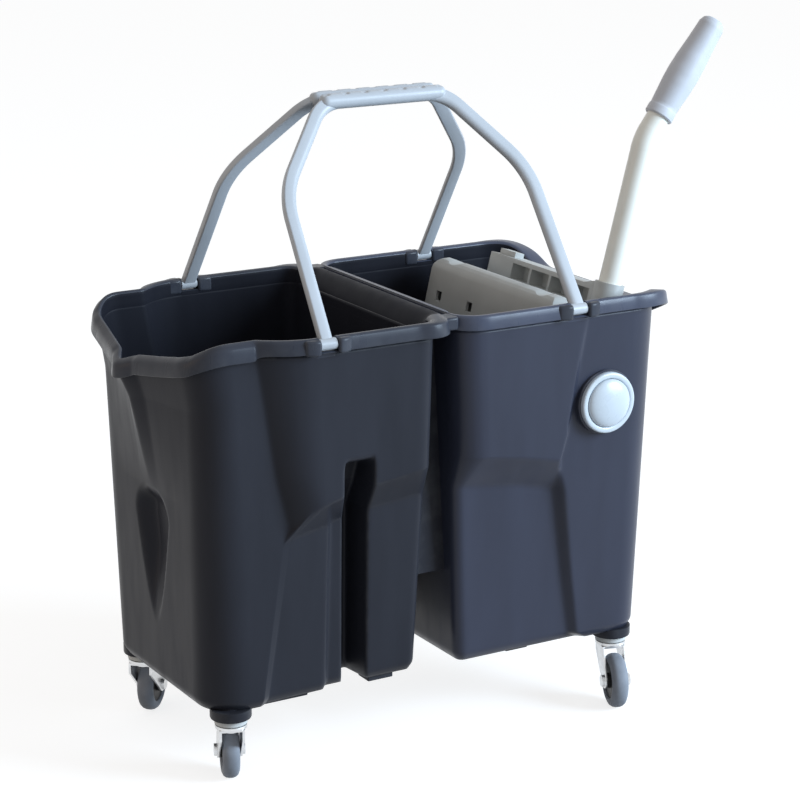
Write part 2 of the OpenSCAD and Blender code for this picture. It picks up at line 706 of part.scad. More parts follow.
// Section of the fixed jaw casing, set in by d: upright face, rounded top and leaning back
top_r = fixed_top_w / 2;
function casing(d) = let (cx = fixed_x0() - top_r, cz = fixed_z - top_r, r = top_r - d,
        bx = cx - r * cos(fixed_lean), bz = cz + r * sin(fixed_lean))
    concat([[fixed_x0() - d, fixed_base_z]],
        [for (i = [0 : 9]) let (a = (180 - fixed_lean) * i / 9) [cx + r * cos(a), cz + r * sin(a)]],
        [[bx - (bz - fixed_base_z) * tan(fixed_lean), fixed_base_z]]);
function casing_back(z) = fixed_x0() - top_r - top_r / cos(fixed_lean)
    - (fixed_z - top_r - z) * tan(fixed_lean);

// Length of the casing along Y, with the given section
module casing_run(half, d) {
    translate([0, half, 0])
        rotate([90, 0, 0])
            linear_extrude(height = 2 * half)
                polygon(casing(d));
}

// Outline of the casing seen along the length, with rounded upper corners
module casing_front() {
    h = fixed_z - fixed_base_z;
    r = fixed_end_r;
    arc = [for (a = [0 : 15 : 90]) [fixed_half - r * (1 - cos(a)), h - r * (1 - sin(a))]];
    translate([fixed_x0() + 1, 0, fixed_base_z])
        rotate([90, 0, -90])
            linear_extrude(height = fixed_x0())
                polygon(concat([[-fixed_half, 0], [fixed_half, 0]], arc,
                    [for (i = [len(arc) - 1 : -1 : 0]) [-arc[i][0], arc[i][1]]]));
}

module drain(x, y, z) {
    translate([x - 8, y - drain_side / 2, z - drain_side / 2])
        cube([16, drain_side, drain_side]);
}

saddle_y = fixed_half - saddle_in;
drain_z = fixed_z - 39;
face_step = 34;

module fixed_jaw() {
    color(mid_grey)
        difference() {
            intersection() {
                casing_run(fixed_half, 0);
                casing_front();
            }
            translate([0, 0, -0.01])
                casing_run(fixed_half - fixed_wall, fixed_wall);
            for (sy = [-1, 1])
                translate([fixed_x0() - 2 * fixed_top_w, sy * saddle_y, fixed_z - saddle_deep])
                    translate([0, 0, saddle_r])
                        rotate([0, 90, 0])
                            cylinder(r = saddle_r, h = 3 * fixed_top_w);
            for (i = [-1.5 : 1.5])
                drain(casing_back(drain_z), i * drain_step, drain_z);
            for (i = [-3 : 3])
                for (j = [0 : 2])
                    drain(fixed_x0(), i * face_step, fixed_base_z + 30 + j * 32);
        }
}

module at_lever() {
    translate([pivot_x, 0, pivot_z])
        rotate([0, lever_lean, 0])
            children();
}

pocket_pitch = (2 * jaw_half - cheek_w - 6) / pocket_n;

// Body of the swing jaw: panel, hub, tab and lever socket with its sloping web
module jaw_body() {
    translate([0, jaw_half, 0])
        rotate([90, 0, 0])
            linear_extrude(height = 2 * jaw_half)
                polygon([[-jaw_face, -18], [jaw_back - 8, -18], [jaw_back, 0], [jaw_back, jaw_h],
                    [-jaw_face, jaw_h]]);
    translate([0, hub_half, 0])
        rotate([90, 0, 0])
            cylinder(d = pin_d + 14, h = 2 * hub_half);
    translate([-6, jaw_half - 36, jaw_h - 1])
        cube([12, 30, 7]);
    translate([0, -lever_y, socket_up / 2])
        cylinder(d = tube_d + 2 * socket_wall, h = jaw_h + 6 - socket_up / 2);
    translate([-jaw_face, 0, 0])
        rotate([90, 0, 90])
            linear_extrude(height = jaw_face + jaw_back - 2)
                polygon([[-jaw_half + 22, jaw_h - 1], [-jaw_half + 22, socket_up / 2],
                    [-lever_y, socket_up / 2], [-lever_y, jaw_h + 6], [-lever_y + 8, jaw_h + 5]]);
}

// Rows of pockets and shallow grooves in the pressing face, and the open back
module jaw_cuts() {
    for (i = [0 : pocket_n - 1])
        translate([-jaw_face - 1, -jaw_half + 6 + i * pocket_pitch, jaw_h - flange_t - pocket_h])
            cube([pocket_deep + 1, pocket_pitch - rib_t, pocket_h]);
    for (j = [0 : 2])
        translate([-jaw_face - 1, -jaw_half + 14, 10 + j * 23])
            cube([3, 2 * jaw_half - 28, 12]);
    translate([pocket_deep - jaw_face + 3, -jaw_half + 30, 22])
        cube([jaw_back, 2 * jaw_half - 36, jaw_h - 22 - flange_t]);
    translate([0, -lever_y, socket_up])
        cylinder(d = tube_d, h = jaw_h);
    for (sy = [-1, 1])
        translate([0, sy * (hub_half - 13), 0])
            rotate([90, 0, 0])
                cylinder(d = pin_d, h = 28, center = true);
}

module swing_jaw() {
    color(mid_grey)
        at_lever()
            difference() {
                jaw_body();
                jaw_cuts();
            }
}

arc_cut = bend_r * tan(bend_angle / 2);
tube_end = grip_from + handle_len - grip_cap;

// Points around the bend of the lever, one ring for each step of the turn
bend_n = 6;
bend_sides = 32;
bend_z = bend_at - arc_cut;
bend_skin = tube_d / 2 / cos(180 / bend_sides) + 0.1;
function bend_mid(a) = [bend_r * (1 - cos(a)), 0, bend_z + bend_r * sin(a)];
function bend_ring(a) = [for (i = [0 : bend_sides - 1]) let (t = 360 * i / bend_sides)
    bend_mid(a) + bend_skin * [-cos(a) * cos(t), sin(t), sin(a) * cos(t)]];
function bend_points() = concat(
    [for (k = [0 : bend_n]) each bend_ring(bend_angle * k / bend_n)],
    [bend_mid(0), bend_mid(bend_angle)]);
function bend_faces() = let (n = bend_sides, c = n * (bend_n + 1)) concat(
    [for (k = [0 : bend_n - 1]) for (i = [0 : n - 1]) let (j = (i + 1) % n) each
        [[k * n + i, (k + 1) * n + j, (k + 1) * n + i], [k * n + i, k * n + j, (k + 1) * n + j]]],
    [for (i = [0 : n - 1]) [c, (i + 1) % n, i]],
    [for (i = [0 : n - 1]) [c + 1, bend_n * n + i, bend_n * n + (i + 1) % n]]);

module lever_tube() {
    color(cream)
        at_lever()
            translate([0, -lever_y, 0])
                difference() {
                    union() {
                        translate([0, 0, socket_up])
                            cylinder(d = tube_d, h = bend_z + 2 - socket_up);
                        polyhedron(points = bend_points(), faces = bend_faces(), convexity = 4);
                        translate([0, 0, bend_at])
                            rotate([0, bend_angle, 0])
                                translate([0, 0, arc_cut - 2])
                                    cylinder(d = tube_d, h = tube_end + 2 - arc_cut);
                    }
                    translate([0, 0, socket_up - 1])
                        cylinder(d = tube_d - 2 * tube_wall, h = bend_z - 9 - socket_up);
                    translate([0, 0, bend_at])
                        rotate([0, bend_angle, 0])
                            translate([0, 0, arc_cut + 10])
                                cylinder(d = tube_d - 2 * tube_wall, h = tube_end);
                }
}

module lever_grip() {
    color(light_grey)
        at_lever()
            translate([0, -lever_y, bend_at])
                rotate([0, bend_angle, 0])
                    translate([0, 0, grip_from])
                        rotate_extrude()
                            polygon(grip_section());
}

// Section of the grip: collar, swell at mid length and rounded end
function grip_section() = let (r = handle_d / 2, t = tube_d / 2, n = handle_len) [
    [t, 0], [t + 2.2, 0], [t + 3.2, 1.2], [t + 3.2, 9], [t + 2.4, 11], [t + 3.4, 0.2 * n],
    [r - 0.4, 0.33 * n], [r, 0.45 * n], [r - 0.6, 0.58 * n], [t + 3, 0.73 * n], [t + 2, 0.86 * n],
    [t + 1.6, n - 7], [t - 0.5, n - 2], [t - 3, n], [0, n], [0, n - grip_cap], [t, n - grip_cap]];

module pivot_bush() {
    difference() {
        union() {
            translate([0, 0, -ring_t])
                cylinder(d = ring_d, h = ring_t);
            cylinder(d = bush_d, h = boss_face - boss_in);
        }
        translate([0, 0, -ring_t - 1])
            cylinder(d = pin_d + 2 * run_c, h = boss_face - boss_in + ring_t + 2);
        translate([0, 0, -ring_t - 1])
            cylinder(d = dome_d + 2 * stop_c, h = ring_t - 1);
    }
}

module pivot_pin() {
    union() {
        translate([0, 0, -ring_t])
            cylinder(d = pin_d, h = boss_face - boss_in + 25 + ring_t);
        rotate_extrude()
            polygon(concat([[0, -2 - side_c + 0.3], [0, -2 - dome_h]],
                [for (a = [75 : -15 : 0]) [dome_d / 2 * cos(a), -4.5 - (dome_h - 2.5) * sin(a)]],
                [[dome_d / 2, -2 - side_c + 0.3]]));
    }
}

module at_pivot(front) {
    translate([pivot_x, front * boss_face, pivot_z])
        rotate([front * 90, 0, 0])
            children();
}

module pivot_bush_front() {
    color(light_grey)
        at_pivot(-1)
            pivot_bush();
}

module pivot_bush_rear() {
    color(light_grey)
        at_pivot(1)
            pivot_bush();
}

module pivot_pin_front() {
    color(light_grey)
        at_pivot(-1)
            pivot_pin();
}

module pivot_pin_rear() {
    color(light_grey)
        at_pivot(1)
            pivot_pin();
}

// Castor parts about the stem line, the wheel trailing along +X
module castor_stem() {
    color(steel)
        union() {
            translate([0, 0, crown_z - 2.2])
                cylinder(d = stem_d, h = cup_z + 24 - crown_z + 2.2);
            translate([0, 0, crown_z - 2.6])
                cylinder(d = stem_d + 6, h = 2.3);
        }
}

module castor_race() {
    color(steel)
        difference() {
            union() {
                translate([0, 0, race_z + 1.6])
                    cylinder(d = race_d, h = race_top - race_z - 1.6);
                translate([0, 0, race_z + 0.3])
                    cylinder(d = race_d - 5, h = 2);
            }
            translate([0, 0, race_z - 1])
                cylinder(d = stem_d, h = race_top - race_z + 2);
        }
}

function leg_outline() = concat(
    [[-crown_back, crown_top], [crown_front, crown_top]],
    [for (a = [30 : -20 : -150]) [trail + eye_r * cos(a), axle_z + eye_r * sin(a)]],
    [[-crown_back, crown_top - crown_skirt]]);

module castor_fork() {
    color(steel)
        difference() {
            union() {
                for (sy = [-1, 1])
                    translate([0, sy * (fork_gap + fork_t) / 2 + fork_t / 2, 0])
                        rotate([90, 0, 0])
                            linear_extrude(height = fork_t)
                                polygon(leg_outline());
                translate([-crown_back, -fork_gap / 2 - 0.5, crown_z])
                    cube([crown_back + crown_front, fork_gap + 1, fork_t]);
                translate([0, 0, crown_top - 0.5])
                    cylinder(d = race_d - 1, h = 3.5);
            }
            translate([0, 0, crown_z - 1])
                cylinder(d = stem_d + 2 * run_c, h = 12);
            translate([trail, 0, axle_z])
                rotate([90, 0, 0])
                    cylinder(d = axle_d, h = 60, center = true);
        }
}

module castor_axle() {
    color(steel)
        translate([trail, 0, axle_z])
            rotate([90, 0, 0])
                union() {
                    cylinder(d = axle_d, h = fork_gap + 2 * fork_t + 2, center = true);
                    for (s = [-1, 1])
                        translate([0, 0, s * (fork_gap / 2 + fork_t + 1.5)])
                            cylinder(d = axle_d + 5, h = 3, center = true);
                }
}

module castor_wheel() {
    color(charcoal)
        translate([trail, 0, axle_z])
            rotate([90, 0, 0])
                difference() {
                    union() {
                        cylinder(d = hub_d, h = tyre_w - 5, center = true);
                        cylinder(d = axle_d + 9, h = fork_gap - 2 * side_c, center = true);
                    }
                    cylinder(d = axle_d + 2 * run_c, h = 60, center = true);
                }
}

module castor_tyre() {
    color(tyre_grey)
        translate([trail, 0, axle_z])
            rotate([90, 0, 0])
                rotate_extrude()
                    polygon(tyre_section());
}

function tyre_section() = let (w = tyre_w / 2, r = wheel_d / 2, h = hub_d / 2) [
    [h, -w + 1.5], [h + 1.5, -w], [r - 6, -w], [r - 2.6, -w + 1.6], [r - 0.8, -w + 4],
    [r, -w + 7], [r, w - 7], [r - 0.8, w - 4], [r - 2.6, w - 1.6], [r - 6, w],
    [h + 1.5, w], [h, w - 1.5]];

module place(sx, sy, heading) {
    translate([sx * castor_x, sy * castor_y, 0])
        rotate([0, 0, heading])
            children();
}

bucket_body();
front_bail();
rear_bail();
fixed_jaw();
swing_jaw();
lever_tube();
lever_grip();
pivot_bush_front();
pivot_bush_rear();
pivot_pin_front();
pivot_pin_rear();
place(-1, -1, head_fl) castor_stem();  // stem_fl
place(-1, -1, head_fl) castor_race();  // race_fl
place(-1, -1, head_fl) castor_fork();  // fork_fl
place(-1, -1, head_fl) castor_axle();  // axle_fl
place(-1, -1, head_fl) castor_wheel();  // wheel_fl
place(-1, -1, head_fl) castor_tyre();  // tyre_fl
place(1, -1, head_fr) castor_stem();  // stem_fr
place(1, -1, head_fr) castor_race();  // race_fr
place(1, -1, head_fr) castor_fork();  // fork_fr
place(1, -1, head_fr) castor_axle();  // axle_fr
place(1, -1, head_fr) castor_wheel();  // wheel_fr
place(1, -1, head_fr) castor_tyre();  // tyre_fr
place(-1, 1, head_bl) castor_stem();  // stem_bl
place(-1, 1, head_bl) castor_race();  // race_bl
place(-1, 1, head_bl) castor_fork();  // fork_bl
place(-1, 1, head_bl) castor_axle();  // axle_bl
place(-1, 1, head_bl) castor_wheel();  // wheel_bl
place(-1, 1, head_bl) castor_tyre();  // tyre_bl
place(1, 1, head_br) castor_stem();  // stem_br
place(1, 1, head_br) castor_race();  // race_br
place(1, 1, head_br) castor_fork();  // fork_br
place(1, 1, head_br) castor_axle();  // axle_br
place(1, 1, head_br) castor_wheel();  // wheel_br
place(1, 1, head_br) castor_tyre();  // tyre_br
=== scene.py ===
# Double mop bucket trolley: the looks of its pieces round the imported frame, with floor, light and camera
import bpy
import math
import numpy as np
from mathutils import Vector, Matrix


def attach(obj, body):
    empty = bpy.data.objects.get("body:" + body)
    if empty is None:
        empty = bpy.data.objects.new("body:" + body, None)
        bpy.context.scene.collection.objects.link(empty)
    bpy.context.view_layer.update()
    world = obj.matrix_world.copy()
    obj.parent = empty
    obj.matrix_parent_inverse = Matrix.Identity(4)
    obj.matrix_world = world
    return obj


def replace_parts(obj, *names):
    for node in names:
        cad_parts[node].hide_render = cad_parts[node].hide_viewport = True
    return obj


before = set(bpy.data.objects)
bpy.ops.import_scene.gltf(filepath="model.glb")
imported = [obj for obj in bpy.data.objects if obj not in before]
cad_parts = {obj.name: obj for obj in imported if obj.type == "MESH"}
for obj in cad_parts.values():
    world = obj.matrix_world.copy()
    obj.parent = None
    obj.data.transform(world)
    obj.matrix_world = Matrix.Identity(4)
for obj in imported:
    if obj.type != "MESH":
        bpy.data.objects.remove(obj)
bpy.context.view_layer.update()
MM = 0.001

# Buckets, in millimetres: x runs right, y back and z up, from the middle of the floor
BASE_Z = 86.0
WALL_TOP = 457.0
WALL = 4.0
BASE_INSET = 5.0
HALF_BASE = 125.0
HALF_TOP = 155.0
POST_TOP = 132.0
LEFT_BASE = 265.0
LEFT_TOP = 272.0
LEFT_R_BASE = 42.0
LEFT_R_TOP = 34.0
FLARE = 5.0
FLARE_Z = 405.0
FLARE_H = 52.0
RIGHT_BASE = 263.0
RIGHT_TOP = 266.0
RIGHT_R_BASE = 32.0
RIGHT_R_TOP = 42.0
END_HALF_BASE = 127.0
END_HALF_TOP = 154.0

# The walls on both sides of the gap
GAP_LEFT_BASE = -26.0
GAP_LEFT_TOP = -19.0
GAP_RIGHT_BASE = 28.0
GAP_RIGHT_TOP = 7.0

# Panels, ledges and the groove
PANEL_BASE = 147.0
LOW_STEP = 5.0
POST_FOOT = 119.0
POST_BACK = 21.0
WASH_FOOT = 111.0
WASH_BACK = 25.0
PRESS_FOOT = 119.0
PRESS_BACK = 21.0
LEDGE_Z = 321.0
LEDGE_H = 36.0
ARCH = 0.00097
ARCH_REACH = 190.0
GROOVE_TOP = 341.0
GROOVE_DEEP = 38.0

# Pairs that hold a value below and above the ledge
PANEL_EDGE = (-131.0, -146.0)
PANEL_STEP = (6.0, 4.0)
PANEL_DIP = (4.0, 0.0)
PRESS_STEP = (8.0, 5.0)
WASH_CORNER_R = (10.0, 16.0)
WASH_CORNER_OUT = (7.0, 0.0)
PRESS_CORNER_R = (12.0, 30.0)

# Left and right side of the groove at the base, under the ledge and above it
GROOVE_BASE_X = (-104.0, -77.0)
GROOVE_LOW_X = (-112.0, -85.0)
GROOVE_HIGH_X = (-126.0, -91.0)

# Levels of the walls from the base to the top, and the two that bound the ledge
LEVELS = 9
LEDGE_LOW = 3
LEDGE_HIGH = 4
LATTICE = 3.0

# One value a level: end of the left post, width of the step beside it, depth of the groove, edge of the press
POST_X = (-209, -208, -198, -185, -177, -192, -194, -204.5, -213.5)
POST_WIDE = (11, 11, 11, 11, 30, 42, 44, 50, 56)
GROOVE_SHARE = (1, 1, 1, 1, 1, 0.8, 0, 0, 0)
PRESS_X = (182, 168, 154, 140, 134, 142, 142, 152, 161)

# The ledge's left tip, where its lower edge rises and its upper edge drops
TIP_X = -156.0
TIP_LONG = 20.0
TIP_RISE = {LEDGE_LOW: 6, LEDGE_HIGH: -15}

# Left end: keel, hand recess and pouring lip, with the lip's drop at distances from the middle
END_X = -238.0
KEEL_OUT = 21.0
KEEL_HALF = 110.0
NOSE_OUT = 7.0
NOSE_HALF = 20.0
KEEL_Z = 297.0
KEEL_H = 143.0
RECESS_LOW = 148.0
RECESS_WIDEST = 266.0
RECESS_TOP = 300.0
RECESS_HALF = 40.0
RECESS_DEEP = 15.0
LIP_Y = [0, 7, 25, 59, 93, 111, 122, 132]
LIP_DOWN = [-36, -34.5, -28, -23.2, -17.4, -13, -7, 0]
DIP_Z = 380.0

# Right end: the edge dips between its corners
RIGHT_DIP = 24.0
RIGHT_DIP_X = 190.0
RIGHT_DIP_Y = 150.0
RIGHT_DIP_LONG = 62.0

# Rolled edge
RIM_H = 17.0
RIM_IN = 12.0
SKIRT = 7.0
LIP_SKIRT = 7.5
LIP_X = -212.0
WASH_SKIRT = 20.0
WASH_SKIRT_X = -36.0
WASH_SKIRT_LONG = 16.0
RIGHT_SKIRT = 19.0
ROLL_REACH = 22.5
DIVIDER_SKIRT = 0.5
INNER_FACES = 5
RIM_SIDE_Y = 140.0
DIVIDER_X = 30.0
DIVIDER_Y = 128.0
LEAN_ROWS = 6

# Bails and their hinges on the rim
CLIP_X = 148.0
CLIP_Y = 157.0
CLIP_Z = 467.0
SLOT = 9.8
BAIL_LEAN = 34.6
BAIL_REACH = 258.0
SHOULDER_IN = 4.5
SHOULDER_Z = 163.0
SHOULDER_R = 92.0
GRIP_X = 72.0
GRIP_BEND_R = 45.0
STRIP_HALF = 7.5
STRIP_T = 4.25
STRIP_R = 2.0
STRIP_ROLL = (6.5, 6.0)
GRIP_HALF = 74.0
GRIP_R = 8.0
NOTCH_STEP = 22.5
NOTCH_HALF = 4.2
NOTCH_ANGLE = 0.42
NOTCH_DEEP = 1.7

# Small mouldings: rim blocks, bridges, webs, foot pads, castor cups and what holds the fixed jaw
BLOCK = [(0, 149.5), (0, 165.5), (7, 165.5), (16, 161.5), (16, 149.5)]
BLOCK_Z = (457.5, 473.2)
BRIDGE = [(-12, 128), (11, 128), (11, 142), (8, 149), (-12, 149)]
BRIDGE_Z = (460.0, 473.5)
WEB_Z = (187.0, 455.0)
WEB_Y = 97.5
WEB_HALF_T = 2.5
PADS = ((-175, 31), (-57, 15), (114, 14))
PAD_Y = (80.0, 102.0)
PAD_Z = (79.0, 88.0)
CASTOR_X = 235.5
CASTOR_Y = 106.0
CUP = [(0, 76), (19.8, 76), (21, 76.6), (21.5, 78), (21.5, 87), (12.5, 87), (12.5, 111), (11.5, 112),
       (0, 112)]
BRACKET_X = (142.0, 176.0)
BRACKET_Y = (109.0, 142.3)
BRACKET_Z = (316.0, 330.0)
STOP_X = (228.4, 265.0)
STOP_Y = (50.0, 60.0)
STOP_Z = (426.0, 440.0)

# Pivots: radius and height of the boss in the wall, the ring and the domed pin
PIVOT_X = 190.0
PIVOT_Y = 153.0
PIVOT_Z = 360.0
BOSS = [(13, -26), (22, -26), (22, -9), (35, -9), (35, -1.2), (33.8, 0), (13, 0)]
RING = [(10.05, -26), (13, -26), (13, 0), (33, 0), (33, 3.0), (32.6, 4.1), (31.7, 4.8), (30.4, 5), (28.4, 5),
        (27.3, 4.7), (26.6, 4.0), (26.4, 3.0), (26.4, 2), (10.05, 2)]
PIN = [(0, -51), (10, -51), (10, 2.2), (25.2, 2.2), (26, 2.8)]
DOME_R = 26.0
DOME_FOOT = 4.5
DOME_H = 7.6

# Looks of the whole
WELD = 1e-6
NODE_ANGLE = 32.0
FLOOR_HALF = 30.0
FLOOR_GREY = 0.3
FLOOR_SHOWN = 0.42
FLOOR_GLOW = 0.78
SKY_LIGHT = 0.44
SKY_SHOWN = 1.0
LIGHT_AT = (0, 0, 0.3)
CAMERA_POS = (-1.2689, -2.2064, 1.0544)
CAMERA_PITCH = 74.58
CAMERA_TURN = -30.42
LENS = 110.9
SENSOR = 36.0


def mix(a, b, t):
    return a + (b - a) * t


def clamp(v, lo=0.0, hi=1.0):
    return max(lo, min(hi, v))


def ease(t):
    """Runs from 0 to 1 with a soft start and end."""
    t = clamp(t)
    return t * t * (3 - 2 * t)


def share(z):
    """Height in the wall, from 0 at the base to 1 at the top."""
    return clamp((z - BASE_Z) / (WALL_TOP - BASE_Z))


# Materials
def shader(name):
    m = bpy.data.materials.new(name)
    m.use_nodes = True
    return m, m.node_tree, m.node_tree.nodes["Principled BSDF"]


def noise(t, scale, detail=4.0, stretch=(1, 1, 1)):
    """Noise in the piece's own coordinates, drawn out by stretch."""
    co = t.nodes.new("ShaderNodeTexCoord")
    mp = t.nodes.new("ShaderNodeMapping")
    mp.inputs["Scale"].default_value = stretch
    n = t.nodes.new("ShaderNodeTexNoise")
    n.inputs["Scale"].default_value = scale
    n.inputs["Detail"].default_value = detail
    t.links.new(co.outputs["Object"], mp.inputs["Vector"])
    t.links.new(mp.outputs["Vector"], n.inputs["Vector"])
    return n.outputs["Fac"]


def spread(t, value, lo, hi, to_lo, to_hi):
    """Maps a value from one range to another."""
    r = t.nodes.new("ShaderNodeMapRange")
    for key, v in (("From Min", lo), ("From Max", hi), ("To Min", to_lo), ("To Max", to_hi)):
        r.inputs[key].default_value = v
    t.links.new(value, r.inputs["Value"])
    return r.outputs["Result"]


def tint(t, fac, a, b):
    """Mixes two colours, each given as a tuple or as a socket."""
    m = t.nodes.new("ShaderNodeMix")
    m.data_type = "RGBA"
    t.links.new(fac, m.inputs["Factor"])
    for socket, c in ((m.inputs["A"], a), (m.inputs["B"], b)):
        if isinstance(c, tuple):
            socket.default_value = (*c, 1)
        else:
            t.links.new(c, socket)
    return m.outputs["Result"]


def times(col, f):
    """A colour made paler or darker by the factor f."""
    return tuple(min(1.0, c * f) for c in col)


def finish(name, col, rough, spec=0.5, tone=0.08, vary=0.04, scale=9.0, stretch=(1, 1, 1), grain=0.1,
           grain_scale=900.0, wear_and_highlight=0.0, metallic=0.0):
    """Moulded or coated surface: clouded tone, uneven gloss, fine grain, and paler edges that are partly wear
    and partly painted highlight.
    """
    m, t, b = shader(name)
    b.inputs["Specular IOR Level"].default_value = spec
    b.inputs["Metallic"].default_value = metallic
    cloud = noise(t, scale, 5.0, stretch)
    base = tint(t, spread(t, cloud, 0.3, 0.7, 0, 1), times(col, 1 - tone), times(col, 1 + tone))
    # Paler sharp edges: partly wear, partly painted edge highlights
    if wear_and_highlight:
        edge = t.nodes.new("ShaderNodeNewGeometry").outputs["Pointiness"]
        rub_and_highlight = t.nodes.new("ShaderNodeMath")
        rub_and_highlight.operation = "MULTIPLY"
        t.links.new(spread(t, edge, 0.515, 0.6, 0, wear_and_highlight), rub_and_highlight.inputs[0])
        t.links.new(spread(t, noise(t, 55.0), 0.4, 0.65, 0.1, 1), rub_and_highlight.inputs[1])
        base = tint(t, rub_and_highlight.outputs["Value"], base, tuple(0.55 * c + 0.16 for c in col))
    t.links.new(base, b.inputs["Base Color"])
    gloss = noise(t, scale * 3.1, 6.0, stretch)
    t.links.new(spread(t, gloss, 0.3, 0.7, rough - vary, rough + vary), b.inputs["Roughness"])
    u = t.nodes.new("ShaderNodeBump")
    u.inputs["Strength"].default_value = grain
    u.inputs["Distance"].default_value = 0.0004
    t.links.new(noise(t, grain_scale, 2.0), u.inputs["Height"])
    t.links.new(u.outputs["Normal"], b.inputs["Normal"])
    return m


# The buckets' plastics share a cloud that is drawn out upwards
MOULD = {"scale": 7.0, "stretch": (3, 3, 0.6), "grain_scale": 800.0}
BUCKET = finish("bucket_plastic", (0.0262, 0.0275, 0.0355), 0.36, 0.09, tone=0.14, vary=0.06, wear_and_highlight=0.3,
                **MOULD)
# Rolled edges, rim blocks and bridges take a paler copy of the bucket plastic, which is painted sheen, and a
# glossier finish
RIM_SHEEN = finish("rim_plastic", (0.036, 0.040, 0.054), 0.3, 0.17, tone=0.12, vary=0.05, grain=0.06, wear_and_highlight=0.3,
             **MOULD)
# The press bucket's wall and bosses take a lighter, bluer copy of the bucket plastic, which is painted sheen,
# with a little more gloss
PRESS_SHEEN = finish("press_painted_sheen", (0.035, 0.039, 0.060), 0.34, 0.2, tone=0.12, vary=0.06, grain=0.08, wear_and_highlight=0.3,
               **MOULD)
# The press bucket's edge takes an even brighter, bluer copy of the plastic: painted sheen
PRESS_RIM_SHEEN = finish("press_rim_painted_sheen", (0.055, 0.064, 0.098), 0.3, 0.28, tone=0.12, vary=0.05, grain=0.06,
                   wear_and_highlight=0.3, **MOULD)
# A darker copy of the bucket plastic for the walls' inner skin, the edges' inner faces and the divider roll:
# painted shade
INSIDE_SHADE = finish("inside_painted_shade", (0.015, 0.016, 0.022), 0.45, 0.05, tone=0.14, vary=0.06, **MOULD)
BAIL = finish("bail_plastic", (0.48, 0.505, 0.54), 0.36, 0.4, tone=0.05, vary=0.05, scale=14.0, wear_and_highlight=0.3)
JAW = finish("jaw_plastic", (0.46, 0.47, 0.46), 0.46, 0.3, tone=0.07, vary=0.05, scale=16.0, grain=0.14,
             grain_scale=800.0, wear_and_highlight=0.3)
TUBE = finish("tube_coat", (0.88, 0.87, 0.80), 0.33, tone=0.03, vary=0.05, scale=20.0, grain=0.05,
              grain_scale=600.0)
GRIP = finish("grip_plastic", (0.56, 0.575, 0.62), 0.5, 0.4, tone=0.06, vary=0.05, scale=30.0, grain=0.22,
              grain_scale=1100.0, wear_and_highlight=0.2)
TRIM = finish("trim_plastic", (0.58, 0.63, 0.68), 0.28, tone=0.04, scale=22.0, grain=0.04, grain_scale=700.0,
              wear_and_highlight=0.2)
ZINC = finish("zinc_steel", (0.66, 0.67, 0.68), 0.34, vary=0.08, scale=60.0, stretch=(1, 1, 3), grain=0.06,
              metallic=1.0)
RACE = finish("race_plastic", (0.62, 0.63, 0.62), 0.4, 0.4, tone=0.06, vary=0.05, scale=40.0)
HUB = finish("hub_plastic", (0.012, 0.012, 0.013), 0.5, 0.3, tone=0.2, vary=0.06, scale=60.0)
TYRE = finish("tyre_rubber", (0.25, 0.27, 0.31), 0.62, 0.3, tone=0.10, vary=0.06, scale=70.0, grain=0.25,
              grain_scale=1400.0, wear_and_highlight=0.2)


# Making pieces
def piece(name, pts, faces, mat, body, slot, smooth=35.0):
    """A mesh from points in millimetres, put on a body, with edges above the angle smooth kept sharp."""
    me = bpy.data.meshes.new(name)
    me.from_pydata([(p[0] * MM, p[1] * MM, p[2] * MM) for p in pts], [], faces)
    me.validate()
    me.polygons.foreach_set("use_smooth", [True] * len(me.polygons))
    if smooth:
        me.set_sharp_from_angle(angle=math.radians(smooth))
    me.materials.append(mat)
    o = bpy.data.objects.new(name, me)
    bpy.context.scene.collection.objects.link(o)
    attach(o, body)
    return o


def soften(o, width, segments=3, angle=30.0):
    """Rounds the edges that are sharper than angle."""
    b = o.modifiers.new("edge", "BEVEL")
    b.width = width * MM
    b.segments = segments
    b.limit_method = "ANGLE"
    b.angle_limit = math.radians(angle)
    b.use_clamp_overlap = True
    return o


def weld(o):
    """Joins points that coincide, such as those on a turning axis."""
    o.modifiers.new("weld", "WELD").merge_threshold = WELD


def grid_faces(rows, cols, closed_rows=False):
    """Faces of a lattice whose columns close on themselves."""
    out = []
    for r in range(rows if closed_rows else rows - 1):
        for i in range(cols):
            j, q = (i + 1) % cols, (r + 1) % rows
            out.append((r * cols + i, r * cols + j, q * cols + j, q * cols + i))
    return out


def sleeve(pts, rows, cols):
    """Faces of a closed tube of rows, turned outwards."""
    last = len(pts)
    faces = grid_faces(rows, cols) + [tuple(range(cols))[::-1], tuple(range(last - cols, last))]
    return pts, [f[::-1] for f in faces]


def lathe(profile, place, sides=64, closed=False):
    """Turns a profile of (radius, height) about Z and moves it with the matrix place."""
    pts, faces, n = [], [], len(profile)
    for s in range(sides):
        a = 2 * math.pi * s / sides
        pts += [place @ Vector((r * math.cos(a), r * math.sin(a), h)) for r, h in profile]
    for s in range(sides):
        q = (s + 1) % sides
        for i in range(n if closed else n - 1):
            k = (i + 1) % n
            faces.append((s * n + i, q * n + i, q * n + k, s * n + k))
    return pts, faces


def join(*meshes):
    """One mesh out of several."""
    pts, faces = [], []
    for p, f in meshes:
        faces += [tuple(v + len(pts) for v in face) for face in f]
        pts += list(p)
    return pts, faces


def spun(name, profile, place, mat, body, slot, sides=64, closed=False):
    """A turned piece."""
    o = piece(name, *lathe(profile, place, sides, closed), mat, body, slot)
    weld(o)
    return o


